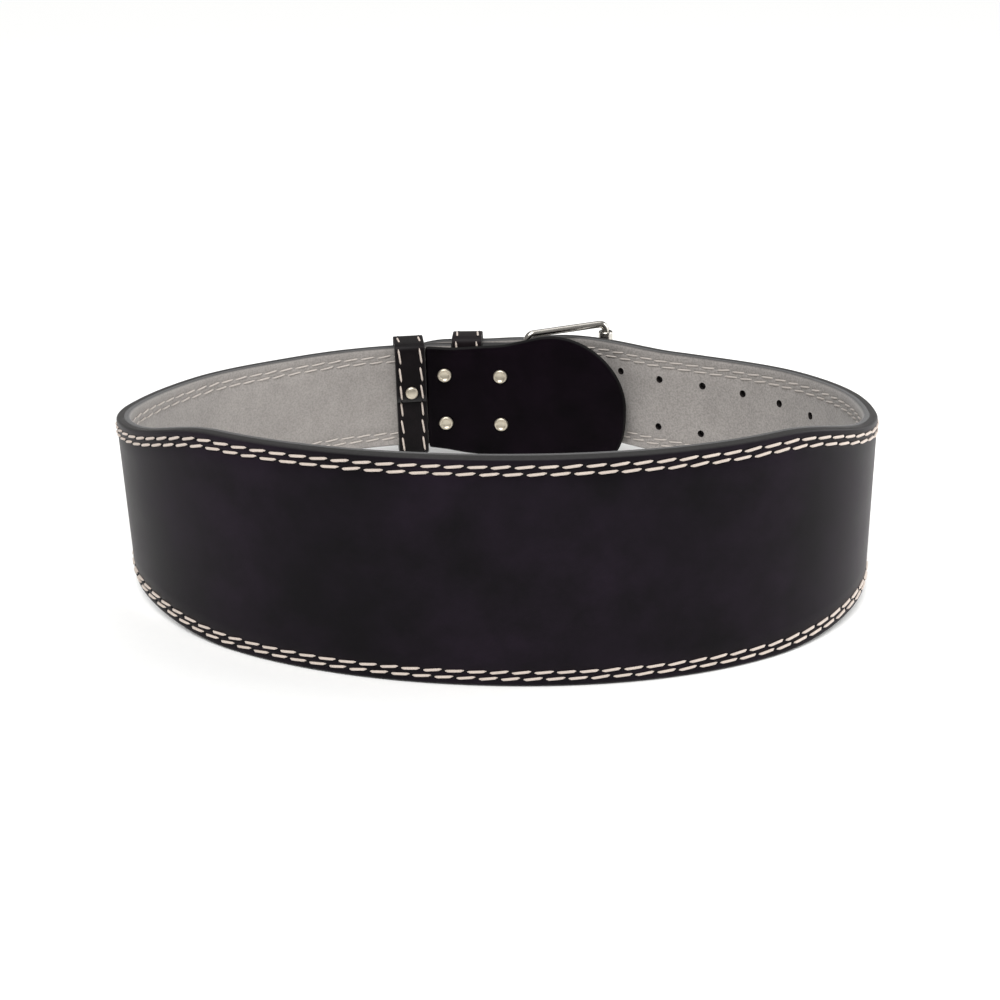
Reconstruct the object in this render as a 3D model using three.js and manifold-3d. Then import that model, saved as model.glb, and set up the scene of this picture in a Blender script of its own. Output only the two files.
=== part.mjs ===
// Leather weightlifting belt, buckled and standing on its lower edge.
// Millimetres, +Z up, the back of the belt towards -Y, the buckle towards +Y.
// The origin is under the middle of the whole belt, on the floor.
import * as THREE from "three";
import { mergeVertices } from "three/addons/utils/BufferGeometryUtils.js";
import Module from "manifold-3d";

const wasm = await Module();
wasm.setup();

// Plan of the closed loop, measured to the middle of the band's thickness
const loopHalfWidth = 171.8;
const loopBackDepth = 110.1;
const loopFrontDepth = 143.7;
const backRoundness = 2.05;
const frontRoundness = 2.31;

// Band
const backWidth = 101;
const frontWidth = 57.7;
const outerThickness = 3.6;
const liningThickness = 2.6;
const gap = 0.3;
const edgeRound = 0.7;
const stationStep = 9;

// Taper from the wide back to the narrow front, on both sides
const wideHalfLength = 120;
const taperLength = 250;
const taperShift = 16.7;

// Tongue
const tongueOverlap = 84;
const tongueTipLength = 40;
const riseRun = 38;
const riseEndShare = 0.413;
const holeDiameter = 4;
const holePitch = 25.2;
const holeRowSpacing = 27.2;
const holesTowardsBack = 6;
const holesTowardsTip = 3;

// Buckle
const wireDiameter = 4;
const frameLength = 46;
const frameSideClearance = 3;
const frameCorner = 3.8;
const frameFlare = 1.6;
const frameSwing = THREE.MathUtils.degToRad(23.5);
const rollerDiameter = 8;
const prongHoleShare = 0.646;
const prongCrank = 13;
const prongThickness = 2.8;
const prongWidth = 2.6;
const prongBevel = 0.4;
const prongRingWall = 1.8;
const prongOverhang = 3.5;
const prongHoleClearance = 0.5;

// Fold of the outer leather round the hinge bar
const foldRun = 10;
const slotClearance = 0.5;

// Shield: a neck and a paddle whose lower edge stands on the floor
const shieldThickness = 3;
const shieldTilt = THREE.MathUtils.degToRad(1.8);
const shieldDrop = 1.3;
const neckWidth = 58;
const paddleWidth = 76.4;
const paddleCentre = 16;
const paddleRadius = 41;
const paddleTopRoundness = 1.9;
const paddleBottomRoundness = 2.9;

// Rivets of the shield
const rivetColumn = 14.7;
const rivetColumnSpacing = 31.8;
const rivetRowSpacing = 28.1;
const rivetShank = 3;
const rivetHead = 7.8;
const rivetHeadHeight = 1.3;
const rivetCap = 6;
const rivetCapHeight = 0.8;
const rivetClearance = 0.3;

// Keepers
const keeperThickness = 2.1;
const keeperClearance = 0.5;
const keeperCorner = 1.6;
const fixedKeeperAt = 33.4;
const fixedKeeperWidth = 16.7;
const fixedKeeperRise = 1.6;
const rivetedKeeperDrop = 2.6;
const rivetedKeeperAt = 65.8;
const rivetedKeeperWidth = 16.8;
const lapRivetHeight = 3.9;
const lapTopEnd = 5.5;
const lapUnderEnd = 5.5;
const keeperRivetHead = 7;

// Sizes that follow from the ones above
const bandThickness = outerThickness + gap + liningThickness;
const bandFace = bandThickness / 2;
const leatherInner = bandFace - outerThickness;
const liningOuter = leatherInner - gap;
const wireRadius = wireDiameter / 2;
const barClear = wireRadius + gap;
const barOutward = liningOuter + barClear;
const foldOuter = barOutward + barClear + outerThickness;
const overFold = foldOuter + gap + bandFace;
const overBand = bandThickness + rivetCapHeight + 2 * gap;
const frameHalfHeight = frontWidth / 2 + frameSideClearance + wireRadius;
const rivetCentre = rivetColumn + rivetColumnSpacing;
const paddleDrop = shieldDrop + Math.tan(shieldTilt) * (rivetCentre + paddleCentre);
const frontMiddle = paddleWidth / 2 + paddleDrop;
const frontLift = frontMiddle - frontWidth / 2;
const riseStart = frameLength + riseRun;
const riseEnd = frameLength * riseEndShare;
const prongHoleDistance = frameLength * prongHoleShare;
const keeperSeam = gap + keeperClearance;
const liningEnd = fixedKeeperAt + fixedKeeperWidth / 2 + keeperClearance;
const foldEnd = fixedKeeperAt - fixedKeeperWidth / 2 - keeperClearance;
const shieldEnd = rivetedKeeperAt - rivetedKeeperWidth / 2 - keeperClearance;

// Small helpers
const smooth = (t) => {
  const s = Math.min(Math.max(t, 0), 1);
  return s * s * (3 - 2 * s);
};
const blend = (a, b, t) => a + (b - a) * t;

// Rises through rows of [position, value] without overshooting
function rowsAt(rows, position) {
  const last = rows.length - 1;
  const slope = (i) => (rows[i + 1][1] - rows[i][1]) / (rows[i + 1][0] - rows[i][0]);
  const tangent = (i) => {
    if (i === 0 || i === last) return 0;
    const before = slope(i - 1);
    const after = slope(i);
    return before * after <= 0 ? 0 : (2 * before * after) / (before + after);
  };
  if (position <= rows[0][0]) return rows[0][1];
  if (position >= rows[last][0]) return rows[last][1];
  const i = rows.findIndex((row) => row[0] > position) - 1;
  const span = rows[i + 1][0] - rows[i][0];
  const t = (position - rows[i][0]) / span;
  const h = smooth(t);
  const start = t * (1 - t) * (1 - t) * span * tangent(i);
  const end = t * t * (1 - t) * span * tangent(i + 1);
  return blend(rows[i][1], rows[i + 1][1], h) + start - end;
}

// Plan curve, walked from the middle of the back towards the buckle side (-X)
const planSamples = 1440;
const planPoints = [];
for (let i = 0; i <= planSamples; i += 1) {
  const angle = (i / planSamples) * 2 * Math.PI;
  const side = -Math.sin(angle);
  const front = -Math.cos(angle);
  const roundness = front < 0 ? backRoundness : frontRoundness;
  const depth = front < 0 ? loopBackDepth : loopFrontDepth;
  const x = loopHalfWidth * Math.sign(side) * Math.abs(side) ** (2 / roundness);
  const y = depth * Math.sign(front) * Math.abs(front) ** (2 / roundness);
  planPoints.push(new THREE.Vector2(x, y));
}
const planLengths = [0];
for (let i = 1; i <= planSamples; i += 1) {
  planLengths.push(planLengths[i - 1] + planPoints[i].distanceTo(planPoints[i - 1]));
}
const loopLength = planLengths[planSamples];

function planPoint(distance) {
  const wrapped = ((distance % loopLength) + loopLength) % loopLength;
  let low = 0;
  let high = planSamples;
  while (high - low > 1) {
    const middle = (low + high) >> 1;
    if (planLengths[middle] <= wrapped) low = middle;
    else high = middle;
  }
  const t = (wrapped - planLengths[low]) / (planLengths[high] - planLengths[low]);
  return planPoints[low].clone().lerp(planPoints[high], t);
}

function planNormal(distance) {
  const ahead = planPoint(distance + 2);
  const behind = planPoint(distance - 2);
  return new THREE.Vector2(behind.y - ahead.y, ahead.x - behind.x).normalize();
}

// Places near the buckle are given by their distance from the middle of the front, positive
// towards the keepers. A lane says how far outwards a layer runs from the plan curve there.
const frontPosition = (fromFront) => loopLength / 2 - fromFront;
const flatLane = () => 0;

const hinge = planPoint(frontPosition(0)).add(planNormal(frontPosition(0)).multiplyScalar(barOutward));
const frameAlong = new THREE.Vector2(Math.cos(frameSwing), Math.sin(frameSwing));
const frameAcross = new THREE.Vector2(-Math.sin(frameSwing), Math.cos(frameSwing));

// The tongue rises outwards until its middle meets the frame's plane at the prongs
const holePoint = planPoint(frontPosition(-prongHoleDistance));
const holeNormal = planNormal(frontPosition(-prongHoleDistance));
const meetsFrame = hinge.clone().sub(holePoint).dot(frameAcross) / holeNormal.dot(frameAcross);
const risePeak = meetsFrame / smooth((riseStart - prongHoleDistance) / (riseStart - riseEnd));

function tongueLane(fromFront) {
  if (fromFront < -riseEnd) return risePeak * smooth((fromFront + riseStart) / (riseStart - riseEnd));
  if (fromFront < wireDiameter) {
    return blend(risePeak, overFold, smooth((fromFront + riseEnd) / (riseEnd + wireDiameter)));
  }
  return blend(overFold, overBand, smooth((fromFront - wireDiameter) / (foldEnd - wireDiameter)));
}

function foldLane(fromFront) {
  return (barOutward + barClear - leatherInner) * smooth((foldRun - fromFront) / foldRun);
}

function lanePoint(lane, fromFront, outward = 0) {
  const at = (f) => {
    const point = planPoint(frontPosition(f));
    return point.add(planNormal(frontPosition(f)).multiplyScalar(lane(f)));
  };
  return at(fromFront).add(laneNormal(lane, fromFront, at).multiplyScalar(outward));
}

function laneNormal(lane, fromFront, at = (f) => lanePoint(lane, f)) {
  const ahead = at(fromFront - 0.5);
  const behind = at(fromFront + 0.5);
  return new THREE.Vector2(behind.y - ahead.y, ahead.x - behind.x).normalize();
}

// Width of the band, as shares of the taper's length and of the change in width
const taperRows = [
  [0, 0],
  [0.24, 0.38],
  [0.48, 0.66],
  [0.72, 0.87],
  [1, 1],
];

function bandEdges(fromFront) {
  const fromBack = loopLength / 2 - fromFront;
  const wrapped = fromBack > loopLength ? fromBack - loopLength : fromBack;
  const offset = Math.abs(((wrapped + loopLength * 1.5) % loopLength) - loopLength / 2 + taperShift);
  const share = rowsAt(taperRows, (offset - wideHalfLength) / taperLength);
  const low = frontLift * share;
  return { low, high: low + blend(backWidth, frontWidth, share) };
}

function tongueEdges(fromFront) {
  const { low, high } = bandEdges(fromFront);
  const tipShare = (fromFront - tongueOverlap + tongueTipLength) / tongueTipLength;
  const half = ((high - low) / 2) * Math.sqrt(1 - Math.min(Math.max(tipShare, 0), 0.995) ** 2);
  return { low: (low + high) / 2 - half, high: (low + high) / 2 + half };
}

// Closed solids
function outwardGeometry(positions, index) {
  let volume = 0;
  const corner = (i) => new THREE.Vector3().fromArray(positions, i * 3);
  for (let i = 0; i < index.length; i += 3) {
    volume += corner(index[i]).dot(corner(index[i + 1]).cross(corner(index[i + 2])));
  }
  const facing = volume < 0 ? index.slice().reverse() : index;
  const geometry = new THREE.BufferGeometry();
  geometry.setAttribute("position", new THREE.Float32BufferAttribute(positions, 3));
  geometry.setIndex(facing);
  return geometry;
}

function loftGeometry(sections, closedLoop = false) {
  const positions = sections.flat().flatMap((point) => point.toArray());
  const size = sections[0].length;
  const index = [];
  const rings = closedLoop ? sections.length : sections.length - 1;
  for (let i = 0; i < rings; i += 1) {
    const here = i * size;
    const next = ((i + 1) % sections.length) * size;
    for (let j = 0; j < size; j += 1) {
      const side = (j + 1) % size;
      index.push(here + j, here + side, next + side, here + j, next + side, next + j);
    }
  }
  const last = (sections.length - 1) * size;
  for (let j = 1; j < size - 1 && !closedLoop; j += 1) {
    index.push(0, j + 1, j, last, last + j, last + j + 1);
  }
  return outwardGeometry(positions, index);
}

// A strip of leather set on edge: each station has its two faces in plan and its two edges in height
function stripGeometry(stations) {
  const sections = stations.map(({ inner, outer, low, high }) => {
    const share = Math.min(edgeRound / inner.distanceTo(outer), 0.3);
    const trim = Math.min(edgeRound, (high - low) / 4);
    const point = (t, z) => {
      const place = inner.clone().lerp(outer, t);
      return new THREE.Vector3(place.x, place.y, z);
    };
    return [
      point(share, low),
      point(1 - share, low),
      point(1, low + trim),
      point(1, high - trim),
      point(1 - share, high),
      point(share, high),
      point(0, high - trim),
      point(0, low + trim),
    ];
  });
  return loftGeometry(sections);
}

function merged(geometry) {
  const bare = geometry.clone();
  bare.deleteAttribute("normal");
  bare.deleteAttribute("uv");
  const welded = mergeVertices(bare, 1e-4);
  const index = [];
  for (let i = 0; i < welded.index.count; i += 3) {
    const [a, b, c] = [0, 1, 2].map((k) => welded.index.getX(i + k));
    if (a !== b && b !== c && a !== c) index.push(a, b, c);
  }
  welded.setIndex(index);
  return welded;
}

function solid(geometry) {
  const welded = merged(geometry);
  return new wasm.Manifold(new wasm.Mesh({
    numProp: 3,
    vertProperties: new Float32Array(welded.attributes.position.array),
    triVerts: new Uint32Array(welded.index.array),
  }));
}

function geometryOf(manifold) {
  const mesh = manifold.getMesh();
  const geometry = new THREE.BufferGeometry();
  geometry.setAttribute("position", new THREE.BufferAttribute(mesh.vertProperties, 3));
  geometry.setIndex(new THREE.BufferAttribute(mesh.triVerts, 1));
  return geometry;
}

// A round bar from one point to another
function barGeometry(from, to, diameter, sides = 16) {
  const axis = to.clone().sub(from);
  const bar = new THREE.CylinderGeometry(diameter / 2, diameter / 2, axis.length(), sides);
  const turn = new THREE.Quaternion().setFromUnitVectors(new THREE.Vector3(0, 1, 0), axis.clone().normalize());
  bar.applyQuaternion(turn);
  const middle = from.clone().add(to).multiplyScalar(0.5);
  return bar.translate(middle.x, middle.y, middle.z);
}

// A bar along the local normal of a lane, for holes and rivets
function throughBar(lane, fromFront, z, inner, outer, diameter, sides = 16) {
  const from = lanePoint(lane, fromFront, inner);
  const to = lanePoint(lane, fromFront, outer);
  return barGeometry(new THREE.Vector3(from.x, from.y, z), new THREE.Vector3(to.x, to.y, z), diameter, sides);
}

const cutAll = (body, cutters) => cutters.reduce((left, cutter) => left.subtract(solid(cutter)), body);

// Stations along the band, from the tongue's tip round the back to a place on the buckle side
function bandStations(innerFace, outerFace, endFromFront) {
  const stations = [];
  const add = (fromFront) => {
    const edges = tongueEdges(fromFront);
    const inner = lanePoint(tongueLane, fromFront, innerFace);
    const outer = lanePoint(tongueLane, fromFront, outerFace);
    stations.push({ inner, outer, ...edges });
  };
  const tipSteps = 8;
  for (let i = 0; i < tipSteps; i += 1) {
    const share = Math.cos((i / tipSteps) * (Math.PI / 2));
    add(tongueOverlap - tongueTipLength + tongueTipLength * share);
  }
  const runStart = tongueOverlap - tongueTipLength;
  const runEnd = endFromFront - loopLength;
  const steps = Math.ceil((runStart - runEnd) / stationStep);
  for (let i = 0; i <= steps; i += 1) {
    add(blend(runStart, runEnd, i / steps));
  }
  return stations;
}

// The tongue's holes are evenly spaced along its own curved path, one pair at the prongs
function holePositions() {
  const positions = [-prongHoleDistance];
  const walk = (direction, count) => {
    let place = -prongHoleDistance;
    for (let i = 0; i < count; i += 1) {
      let walked = 0;
      let here = lanePoint(tongueLane, place);
      while (walked < holePitch) {
        place += direction * 0.25;
        const next = lanePoint(tongueLane, place);
        walked += next.distanceTo(here);
        here = next;
      }
      positions.push(place);
    }
  };
  walk(-1, holesTowardsBack);
  walk(1, holesTowardsTip);
  return positions;
}

const prongHeights = [1, -1].map((side) => frontMiddle + side * (holeRowSpacing / 2));

function framePoint(along, across, z) {
  const place = hinge.clone().addScaledVector(frameAlong, along).addScaledVector(frameAcross, across);
  return new THREE.Vector3(place.x, place.y, z);
}

function bandHoles() {
  const cutters = [];
  const reach = bandFace + gap / 2;
  for (const fromFront of holePositions()) {
    const { low, high } = bandEdges(fromFront);
    for (const side of [1, -1]) {
      const z = (low + high) / 2 + side * (holeRowSpacing / 2);
      cutters.push(throughBar(tongueLane, fromFront, z, -reach, reach, holeDiameter, 12));
    }
  }
  // The prongs pass through their pair at a slant, which widens it
  const diameter = Math.hypot(prongThickness, prongWidth) + prongHoleClearance;
  for (const z of prongHeights) {
    const start = framePoint(foldOuter + outerThickness, 0, z);
    cutters.push(barGeometry(start, framePoint(frameLength - rollerDiameter / 2, 0, z), diameter, 12));
  }
  return cutters;
}

// Shield outline: a neck that flares into a paddle, along an axis that dips towards the paddle
const shieldAxis = (fromFront) => frontMiddle - shieldDrop - Math.tan(shieldTilt) * (rivetCentre - fromFront);

// Flare of the neck, as shares of its length and of the change in width
const upperFlareRows = [
  [0, 0.13],
  [0.2, 0.07],
  [0.43, 0.2],
  [0.58, 0.3],
  [0.78, 0.68],
  [0.9, 0.92],
  [1, 1],
];
const lowerFlareRows = [
  [0, 0],
  [0.12, 0.1],
  [0.3, 0.34],
  [0.58, 0.54],
  [0.78, 0.82],
  [1, 1],
];

function shieldEdges(fromFront) {
  const share = (shieldEnd - fromFront) / (shieldEnd + paddleCentre);
  const half = (rows) => blend(neckWidth, paddleWidth, rowsAt(rows, share)) / 2;
  const reach = Math.min(Math.max((-paddleCentre - fromFront) / paddleRadius, 0), 1);
  const rounded = (roundness) => (1 - reach ** roundness) ** (1 / roundness);
  const axis = shieldAxis(fromFront);
  return {
    low: axis - half(lowerFlareRows) * rounded(paddleBottomRoundness),
    high: axis + half(upperFlareRows) * rounded(paddleTopRoundness),
  };
}

const shieldRivets = [];
for (const column of [rivetCentre, rivetColumn]) {
  for (const row of [1, -1]) {
    shieldRivets.push({ fromFront: column, z: shieldAxis(column) + row * (rivetRowSpacing / 2) });
  }
}
const rivetHoles = shieldRivets.map(({ fromFront, z }) => {
  const reach = bandFace + gap + shieldThickness + rivetHeadHeight;
  const diameter = rivetShank + 2 * rivetClearance;
  return throughBar(flatLane, fromFront, z, -reach, bandFace + gap, diameter, 12);
});

function makeOuterLeather() {
  const stations = bandStations(leatherInner, bandFace, foldEnd);
  const foldSteps = [0.8, 0.6, 0.45, 0.3, 0.15, 0];
  const edges = bandEdges(0);
  stations.push({
    inner: lanePoint(flatLane, foldRun, leatherInner),
    outer: lanePoint(flatLane, foldRun, bandFace),
    ...edges,
  });
  for (const share of foldSteps) {
    const fromFront = share * foldRun;
    stations.push({
      inner: lanePoint(foldLane, fromFront, leatherInner),
      outer: lanePoint(foldLane, fromFront, bandFace),
      ...edges,
    });
  }
  const turnSteps = 8;
  for (let i = 1; i <= turnSteps; i += 1) {
    const angle = Math.PI / 2 - (i / turnSteps) * Math.PI;
    const thickness = blend(outerThickness, liningThickness, i / turnSteps);
    const ray = new THREE.Vector2(Math.cos(angle), Math.sin(angle));
    stations.push({
      inner: hinge.clone().addScaledVector(ray, barClear),
      outer: hinge.clone().addScaledVector(ray, barClear + thickness),
      ...edges,
    });
  }
  for (const share of [0.3, 0.65, 1]) {
    stations.push({
      inner: lanePoint(flatLane, foldEnd * share, liningOuter),
      outer: lanePoint(flatLane, foldEnd * share, -bandFace),
      ...edges,
    });
  }
  const slots = prongHeights.map((z) => {
    const left = barClear + prongRingWall + slotClearance;
    const right = foldOuter;
    const slot = new THREE.BoxGeometry(left + right, foldOuter + bandThickness, prongWidth + 2 * slotClearance);
    const top = hinge.y - barOutward + foldOuter + gap / 2;
    return slot.translate(hinge.x + (right - left) / 2, top - (foldOuter + bandThickness) / 2, z);
  });
  return geometryOf(cutAll(solid(stripGeometry(stations)), [...bandHoles(), ...slots, ...rivetHoles]));
}

function makeSuedeLining() {
  const stations = bandStations(-bandFace, liningOuter, liningEnd);
  return geometryOf(cutAll(solid(stripGeometry(stations)), [...bandHoles(), ...rivetHoles]));
}

function makeBuckleShield() {
  const inner = -bandFace - gap - shieldThickness;
  const outer = -bandFace - gap;
  const stations = [];
  const add = (fromFront) => {
    stations.push({
      inner: lanePoint(flatLane, fromFront, inner),
      outer: lanePoint(flatLane, fromFront, outer),
      ...shieldEdges(fromFront),
    });
  };
  const neckSteps = 12;
  for (let i = 0; i <= neckSteps; i += 1) {
    add(blend(shieldEnd, -paddleCentre, i / neckSteps));
  }
  const paddleSteps = 12;
  for (let i = 1; i <= paddleSteps; i += 1) {
    add(-paddleCentre - paddleRadius * Math.sin((i / (paddleSteps + 0.5)) * (Math.PI / 2)));
  }
  return geometryOf(cutAll(solid(stripGeometry(stations)), rivetHoles));
}

// Turned parts lie along the local normal, their first profile point on the inner side
function turnedGeometry(profile, lane, fromFront, z) {
  const points = profile.map(([radius, height]) => new THREE.Vector2(radius, height));
  const turned = new THREE.LatheGeometry(points, 16);
  const normal = laneNormal(lane, fromFront);
  const direction = new THREE.Vector3(normal.x, normal.y, 0);
  turned.applyQuaternion(new THREE.Quaternion().setFromUnitVectors(new THREE.Vector3(0, 1, 0), direction));
  const place = lanePoint(lane, fromFront);
  const geometry = merged(turned.translate(place.x, place.y, z));
  return outwardGeometry(Array.from(geometry.attributes.position.array), Array.from(geometry.index.array));
}

// Head with a raised rim and a shallow dish, shank, and a flat cap on the far side
function rivetProfile(headFace, capFace, headDiameter, capDiameter) {
  const head = headDiameter / 2;
  const rim = headFace - rivetHeadHeight;
  return [
    [0, rim + 0.35 * rivetHeadHeight],
    [0.6 * head, rim + 0.3 * rivetHeadHeight],
    [0.75 * head, rim],
    [0.9 * head, rim + 0.12 * rivetHeadHeight],
    [head, rim + 0.6 * rivetHeadHeight],
    [head, headFace],
    [rivetShank / 2, headFace],
    [rivetShank / 2, capFace],
    [capDiameter / 2, capFace],
    [capDiameter / 2, capFace + rivetCapHeight],
    [0, capFace + rivetCapHeight],
  ];
}

function makeShieldRivet({ fromFront, z }) {
  const headFace = -bandFace - gap - shieldThickness - gap;
  const profile = rivetProfile(headFace, bandFace + gap, rivetHead, rivetCap);
  return turnedGeometry(profile, flatLane, fromFront, z);
}

// Wire frame: a rounded rectangle of round wire in the frame's plane, a little wider at the roller
function makeBuckleFrame() {
  const atHinge = frameHalfHeight - frameCorner;
  const atRoller = atHinge + frameFlare;
  const corners = [
    [frameLength - frameCorner, atRoller, 0],
    [frameCorner, atHinge, 1],
    [frameCorner, -atHinge, 2],
    [frameLength - frameCorner, -atRoller, 3],
  ];
  const cornerSteps = 5;
  const sections = [];
  for (const [along, height, quarter] of corners) {
    for (let i = 0; i <= cornerSteps; i += 1) {
      const angle = (quarter + i / cornerSteps) * (Math.PI / 2);
      const ring = [];
      for (let j = 0; j < 12; j += 1) {
        const turn = (j / 12) * 2 * Math.PI;
        const reach = frameCorner + wireRadius * Math.cos(turn);
        const a = along + reach * Math.cos(angle);
        const z = frontMiddle + height + reach * Math.sin(angle);
        ring.push(framePoint(a, wireRadius * Math.sin(turn), z));
      }
      sections.push(ring);
    }
  }
  return loftGeometry(sections, true);
}

function makeBuckleRoller() {
  const half = frameHalfHeight + frameFlare - frameCorner - gap;
  const bore = wireRadius + gap;
  const outer = rollerDiameter / 2;
  const profile = [
    [bore, -half],
    [outer - edgeRound, -half],
    [outer, -half + edgeRound],
    [outer, half - edgeRound],
    [outer - edgeRound, half],
    [bore, half],
    [bore, -half],
  ].map(([radius, height]) => new THREE.Vector2(radius, height));
  const turned = new THREE.LatheGeometry(profile, 20).rotateX(Math.PI / 2);
  const place = framePoint(frameLength, 0, frontMiddle);
  const geometry = merged(turned.translate(place.x, place.y, place.z));
  return outwardGeometry(Array.from(geometry.attributes.position.array), Array.from(geometry.index.array));
}

// Prong: an eye round the hinge bar and an arm that steps out over the roller
function makeProng(z) {
  const tipOutward = rollerDiameter / 2 + gap + prongThickness / 2;
  const crankEnd = frameLength - 1;
  const crankStart = crankEnd - prongCrank;
  const tip = frameLength + prongOverhang;
  const start = barClear + prongRingWall / 2;
  const middle = (a) => tipOutward * smooth((a - crankStart) / (crankEnd - crankStart));
  const half = (a) => (prongThickness / 2) * (1 - 0.35 * smooth((a - crankEnd) / (tip - crankEnd)));
  const outline = [];
  const steps = 14;
  for (let i = 0; i <= steps; i += 1) {
    const a = blend(start, tip, i / steps);
    outline.push(new THREE.Vector2(a, middle(a) + half(a) - prongBevel));
  }
  for (let i = steps; i >= 0; i -= 1) {
    const a = blend(start, tip, i / steps);
    outline.push(new THREE.Vector2(a, middle(a) - half(a) + prongBevel));
  }
  const arm = new THREE.ExtrudeGeometry(new THREE.Shape(outline), {
    depth: prongWidth - 2 * prongBevel,
    bevelSize: prongBevel,
    bevelThickness: prongBevel,
    bevelSegments: 1,
  });
  arm.translate(0, 0, prongBevel - prongWidth / 2);
  const eye = new THREE.CylinderGeometry(barClear + prongRingWall, barClear + prongRingWall, prongWidth, 20);
  const bore = new THREE.CylinderGeometry(barClear, barClear, prongWidth * 2, 20);
  eye.rotateX(Math.PI / 2);
  bore.rotateX(Math.PI / 2);
  const prong = geometryOf(solid(arm).add(solid(eye)).subtract(solid(bore)));
  return prong.rotateZ(frameSwing).translate(hinge.x, hinge.y, z);
}

// Keeper section, outwards and up, run along the band by the keeper's width
function extrudeAcross(shape, fromFront, width) {
  const keeper = new THREE.ExtrudeGeometry(shape, { depth: width, bevelEnabled: false, curveSegments: 4 });
  const normal = planNormal(frontPosition(fromFront));
  const outward = new THREE.Vector3(normal.x, normal.y, 0);
  const up = new THREE.Vector3(0, 0, 1);
  const along = outward.clone().cross(up);
  const place = planPoint(frontPosition(fromFront));
  keeper.translate(0, 0, -width / 2);
  keeper.applyMatrix4(new THREE.Matrix4().makeBasis(outward, up, along));
  return merged(keeper.translate(place.x, place.y, 0));
}

function roundedBox(path, left, right, low, high, corner) {
  path.moveTo(left + corner, low);
  path.lineTo(right - corner, low);
  path.absarc(right - corner, low + corner, corner, -Math.PI / 2, 0, false);
  path.lineTo(right, high - corner);
  path.absarc(right - corner, high - corner, corner, 0, Math.PI / 2, false);
  path.lineTo(left + corner, high);
  path.absarc(left + corner, high - corner, corner, Math.PI / 2, Math.PI, false);
  path.lineTo(left, low + corner);
  path.absarc(left + corner, low + corner, corner, Math.PI, Math.PI * 1.5, false);
  return path;
}

const tongueOuter = overBand + bandFace;
const keeperOuter = tongueOuter + keeperClearance;

function makeFixedKeeper() {
  const { low, high } = bandEdges(fixedKeeperAt);
  const inner = liningOuter - (liningThickness - keeperThickness) / 2;
  const corner = keeperCorner;
  const grow = keeperThickness;
  const bounds = [inner, keeperOuter, low - keeperClearance, high + keeperClearance + fixedKeeperRise];
  const [left, right, bottom, top] = bounds;
  const shape = roundedBox(
    new THREE.Shape(), left - grow, right + grow, bottom - grow, top + grow, corner + grow / 2,
  );
  shape.holes.push(roundedBox(new THREE.Path(), left, right, bottom, top, corner / 2));
  return extrudeAcross(shape, fixedKeeperAt, fixedKeeperWidth);
}

// The riveted keeper is one strap whose upper end laps over its lower end on the inner face
function makeRivetedKeeper() {
  const { low, high } = bandEdges(rivetedKeeperAt);
  const left = -bandFace - keeperSeam;
  const bottom = low - keeperClearance - rivetedKeeperDrop;
  const top = high + keeperClearance;
  const grow = keeperThickness;
  const rivetZ = frontMiddle + lapRivetHeight;
  const lapLeft = left - grow - gap;
  const corner = keeperCorner;
  const shape = new THREE.Shape();
  shape.moveTo(left, rivetZ + lapTopEnd);
  shape.lineTo(left, bottom);
  shape.lineTo(keeperOuter, bottom);
  shape.lineTo(keeperOuter, top);
  shape.lineTo(lapLeft, top);
  shape.lineTo(lapLeft, rivetZ - lapUnderEnd);
  shape.lineTo(lapLeft - grow, rivetZ - lapUnderEnd);
  shape.lineTo(lapLeft - grow, top + grow - corner);
  shape.lineTo(lapLeft - grow + corner, top + grow);
  shape.lineTo(keeperOuter + grow - corner, top + grow);
  shape.lineTo(keeperOuter + grow, top + grow - corner);
  shape.lineTo(keeperOuter + grow, bottom - grow + corner);
  shape.lineTo(keeperOuter + grow - corner, bottom - grow);
  shape.lineTo(left - grow + corner, bottom - grow);
  shape.lineTo(left - grow, bottom - grow + corner);
  shape.lineTo(left - grow, rivetZ + lapTopEnd);
  shape.closePath();
  const strap = extrudeAcross(shape, rivetedKeeperAt, rivetedKeeperWidth);
  const diameter = rivetShank + 2 * rivetClearance;
  const hole = throughBar(flatLane, rivetedKeeperAt, rivetZ, lapLeft - 2 * grow, left + gap / 2, diameter, 12);
  return geometryOf(solid(strap).subtract(solid(hole)));
}

// The lap's rivet is set between the strap's two layers and ends flush inside the under layer
function makeKeeperRivet() {
  const left = -bandFace - keeperSeam;
  const headFace = left - 2 * keeperThickness - 2 * gap;
  const head = keeperRivetHead / 2;
  const rim = headFace - rivetHeadHeight;
  const profile = [
    [0, rim],
    [0.7 * head, rim + 0.15 * rivetHeadHeight],
    [head, rim + 0.6 * rivetHeadHeight],
    [head, headFace],
    [rivetShank / 2, headFace],
    [rivetShank / 2, left],
    [0, left],
  ];
  return turnedGeometry(profile, flatLane, rivetedKeeperAt, frontMiddle + lapRivetHeight);
}

// Finishes
const finish = (color, roughness, metalness) => () => new THREE.MeshStandardMaterial({ color, roughness, metalness });
const blackLeather = finish("#211b23", 0.45, 0);
const darkLeather = finish("#140d14", 0.5, 0);
const greySuede = finish("#a09b98", 0.95, 0);
const nickel = finish("#c8beaa", 0.35, 0.9);
const steel = finish("#b4afa5", 0.3, 1);

const belt = new THREE.Group();
function addPiece(name, geometry, material) {
  const mesh = new THREE.Mesh(geometry, material());
  mesh.name = name;
  geometry.computeVertexNormals();
  belt.add(mesh);
}

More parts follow.
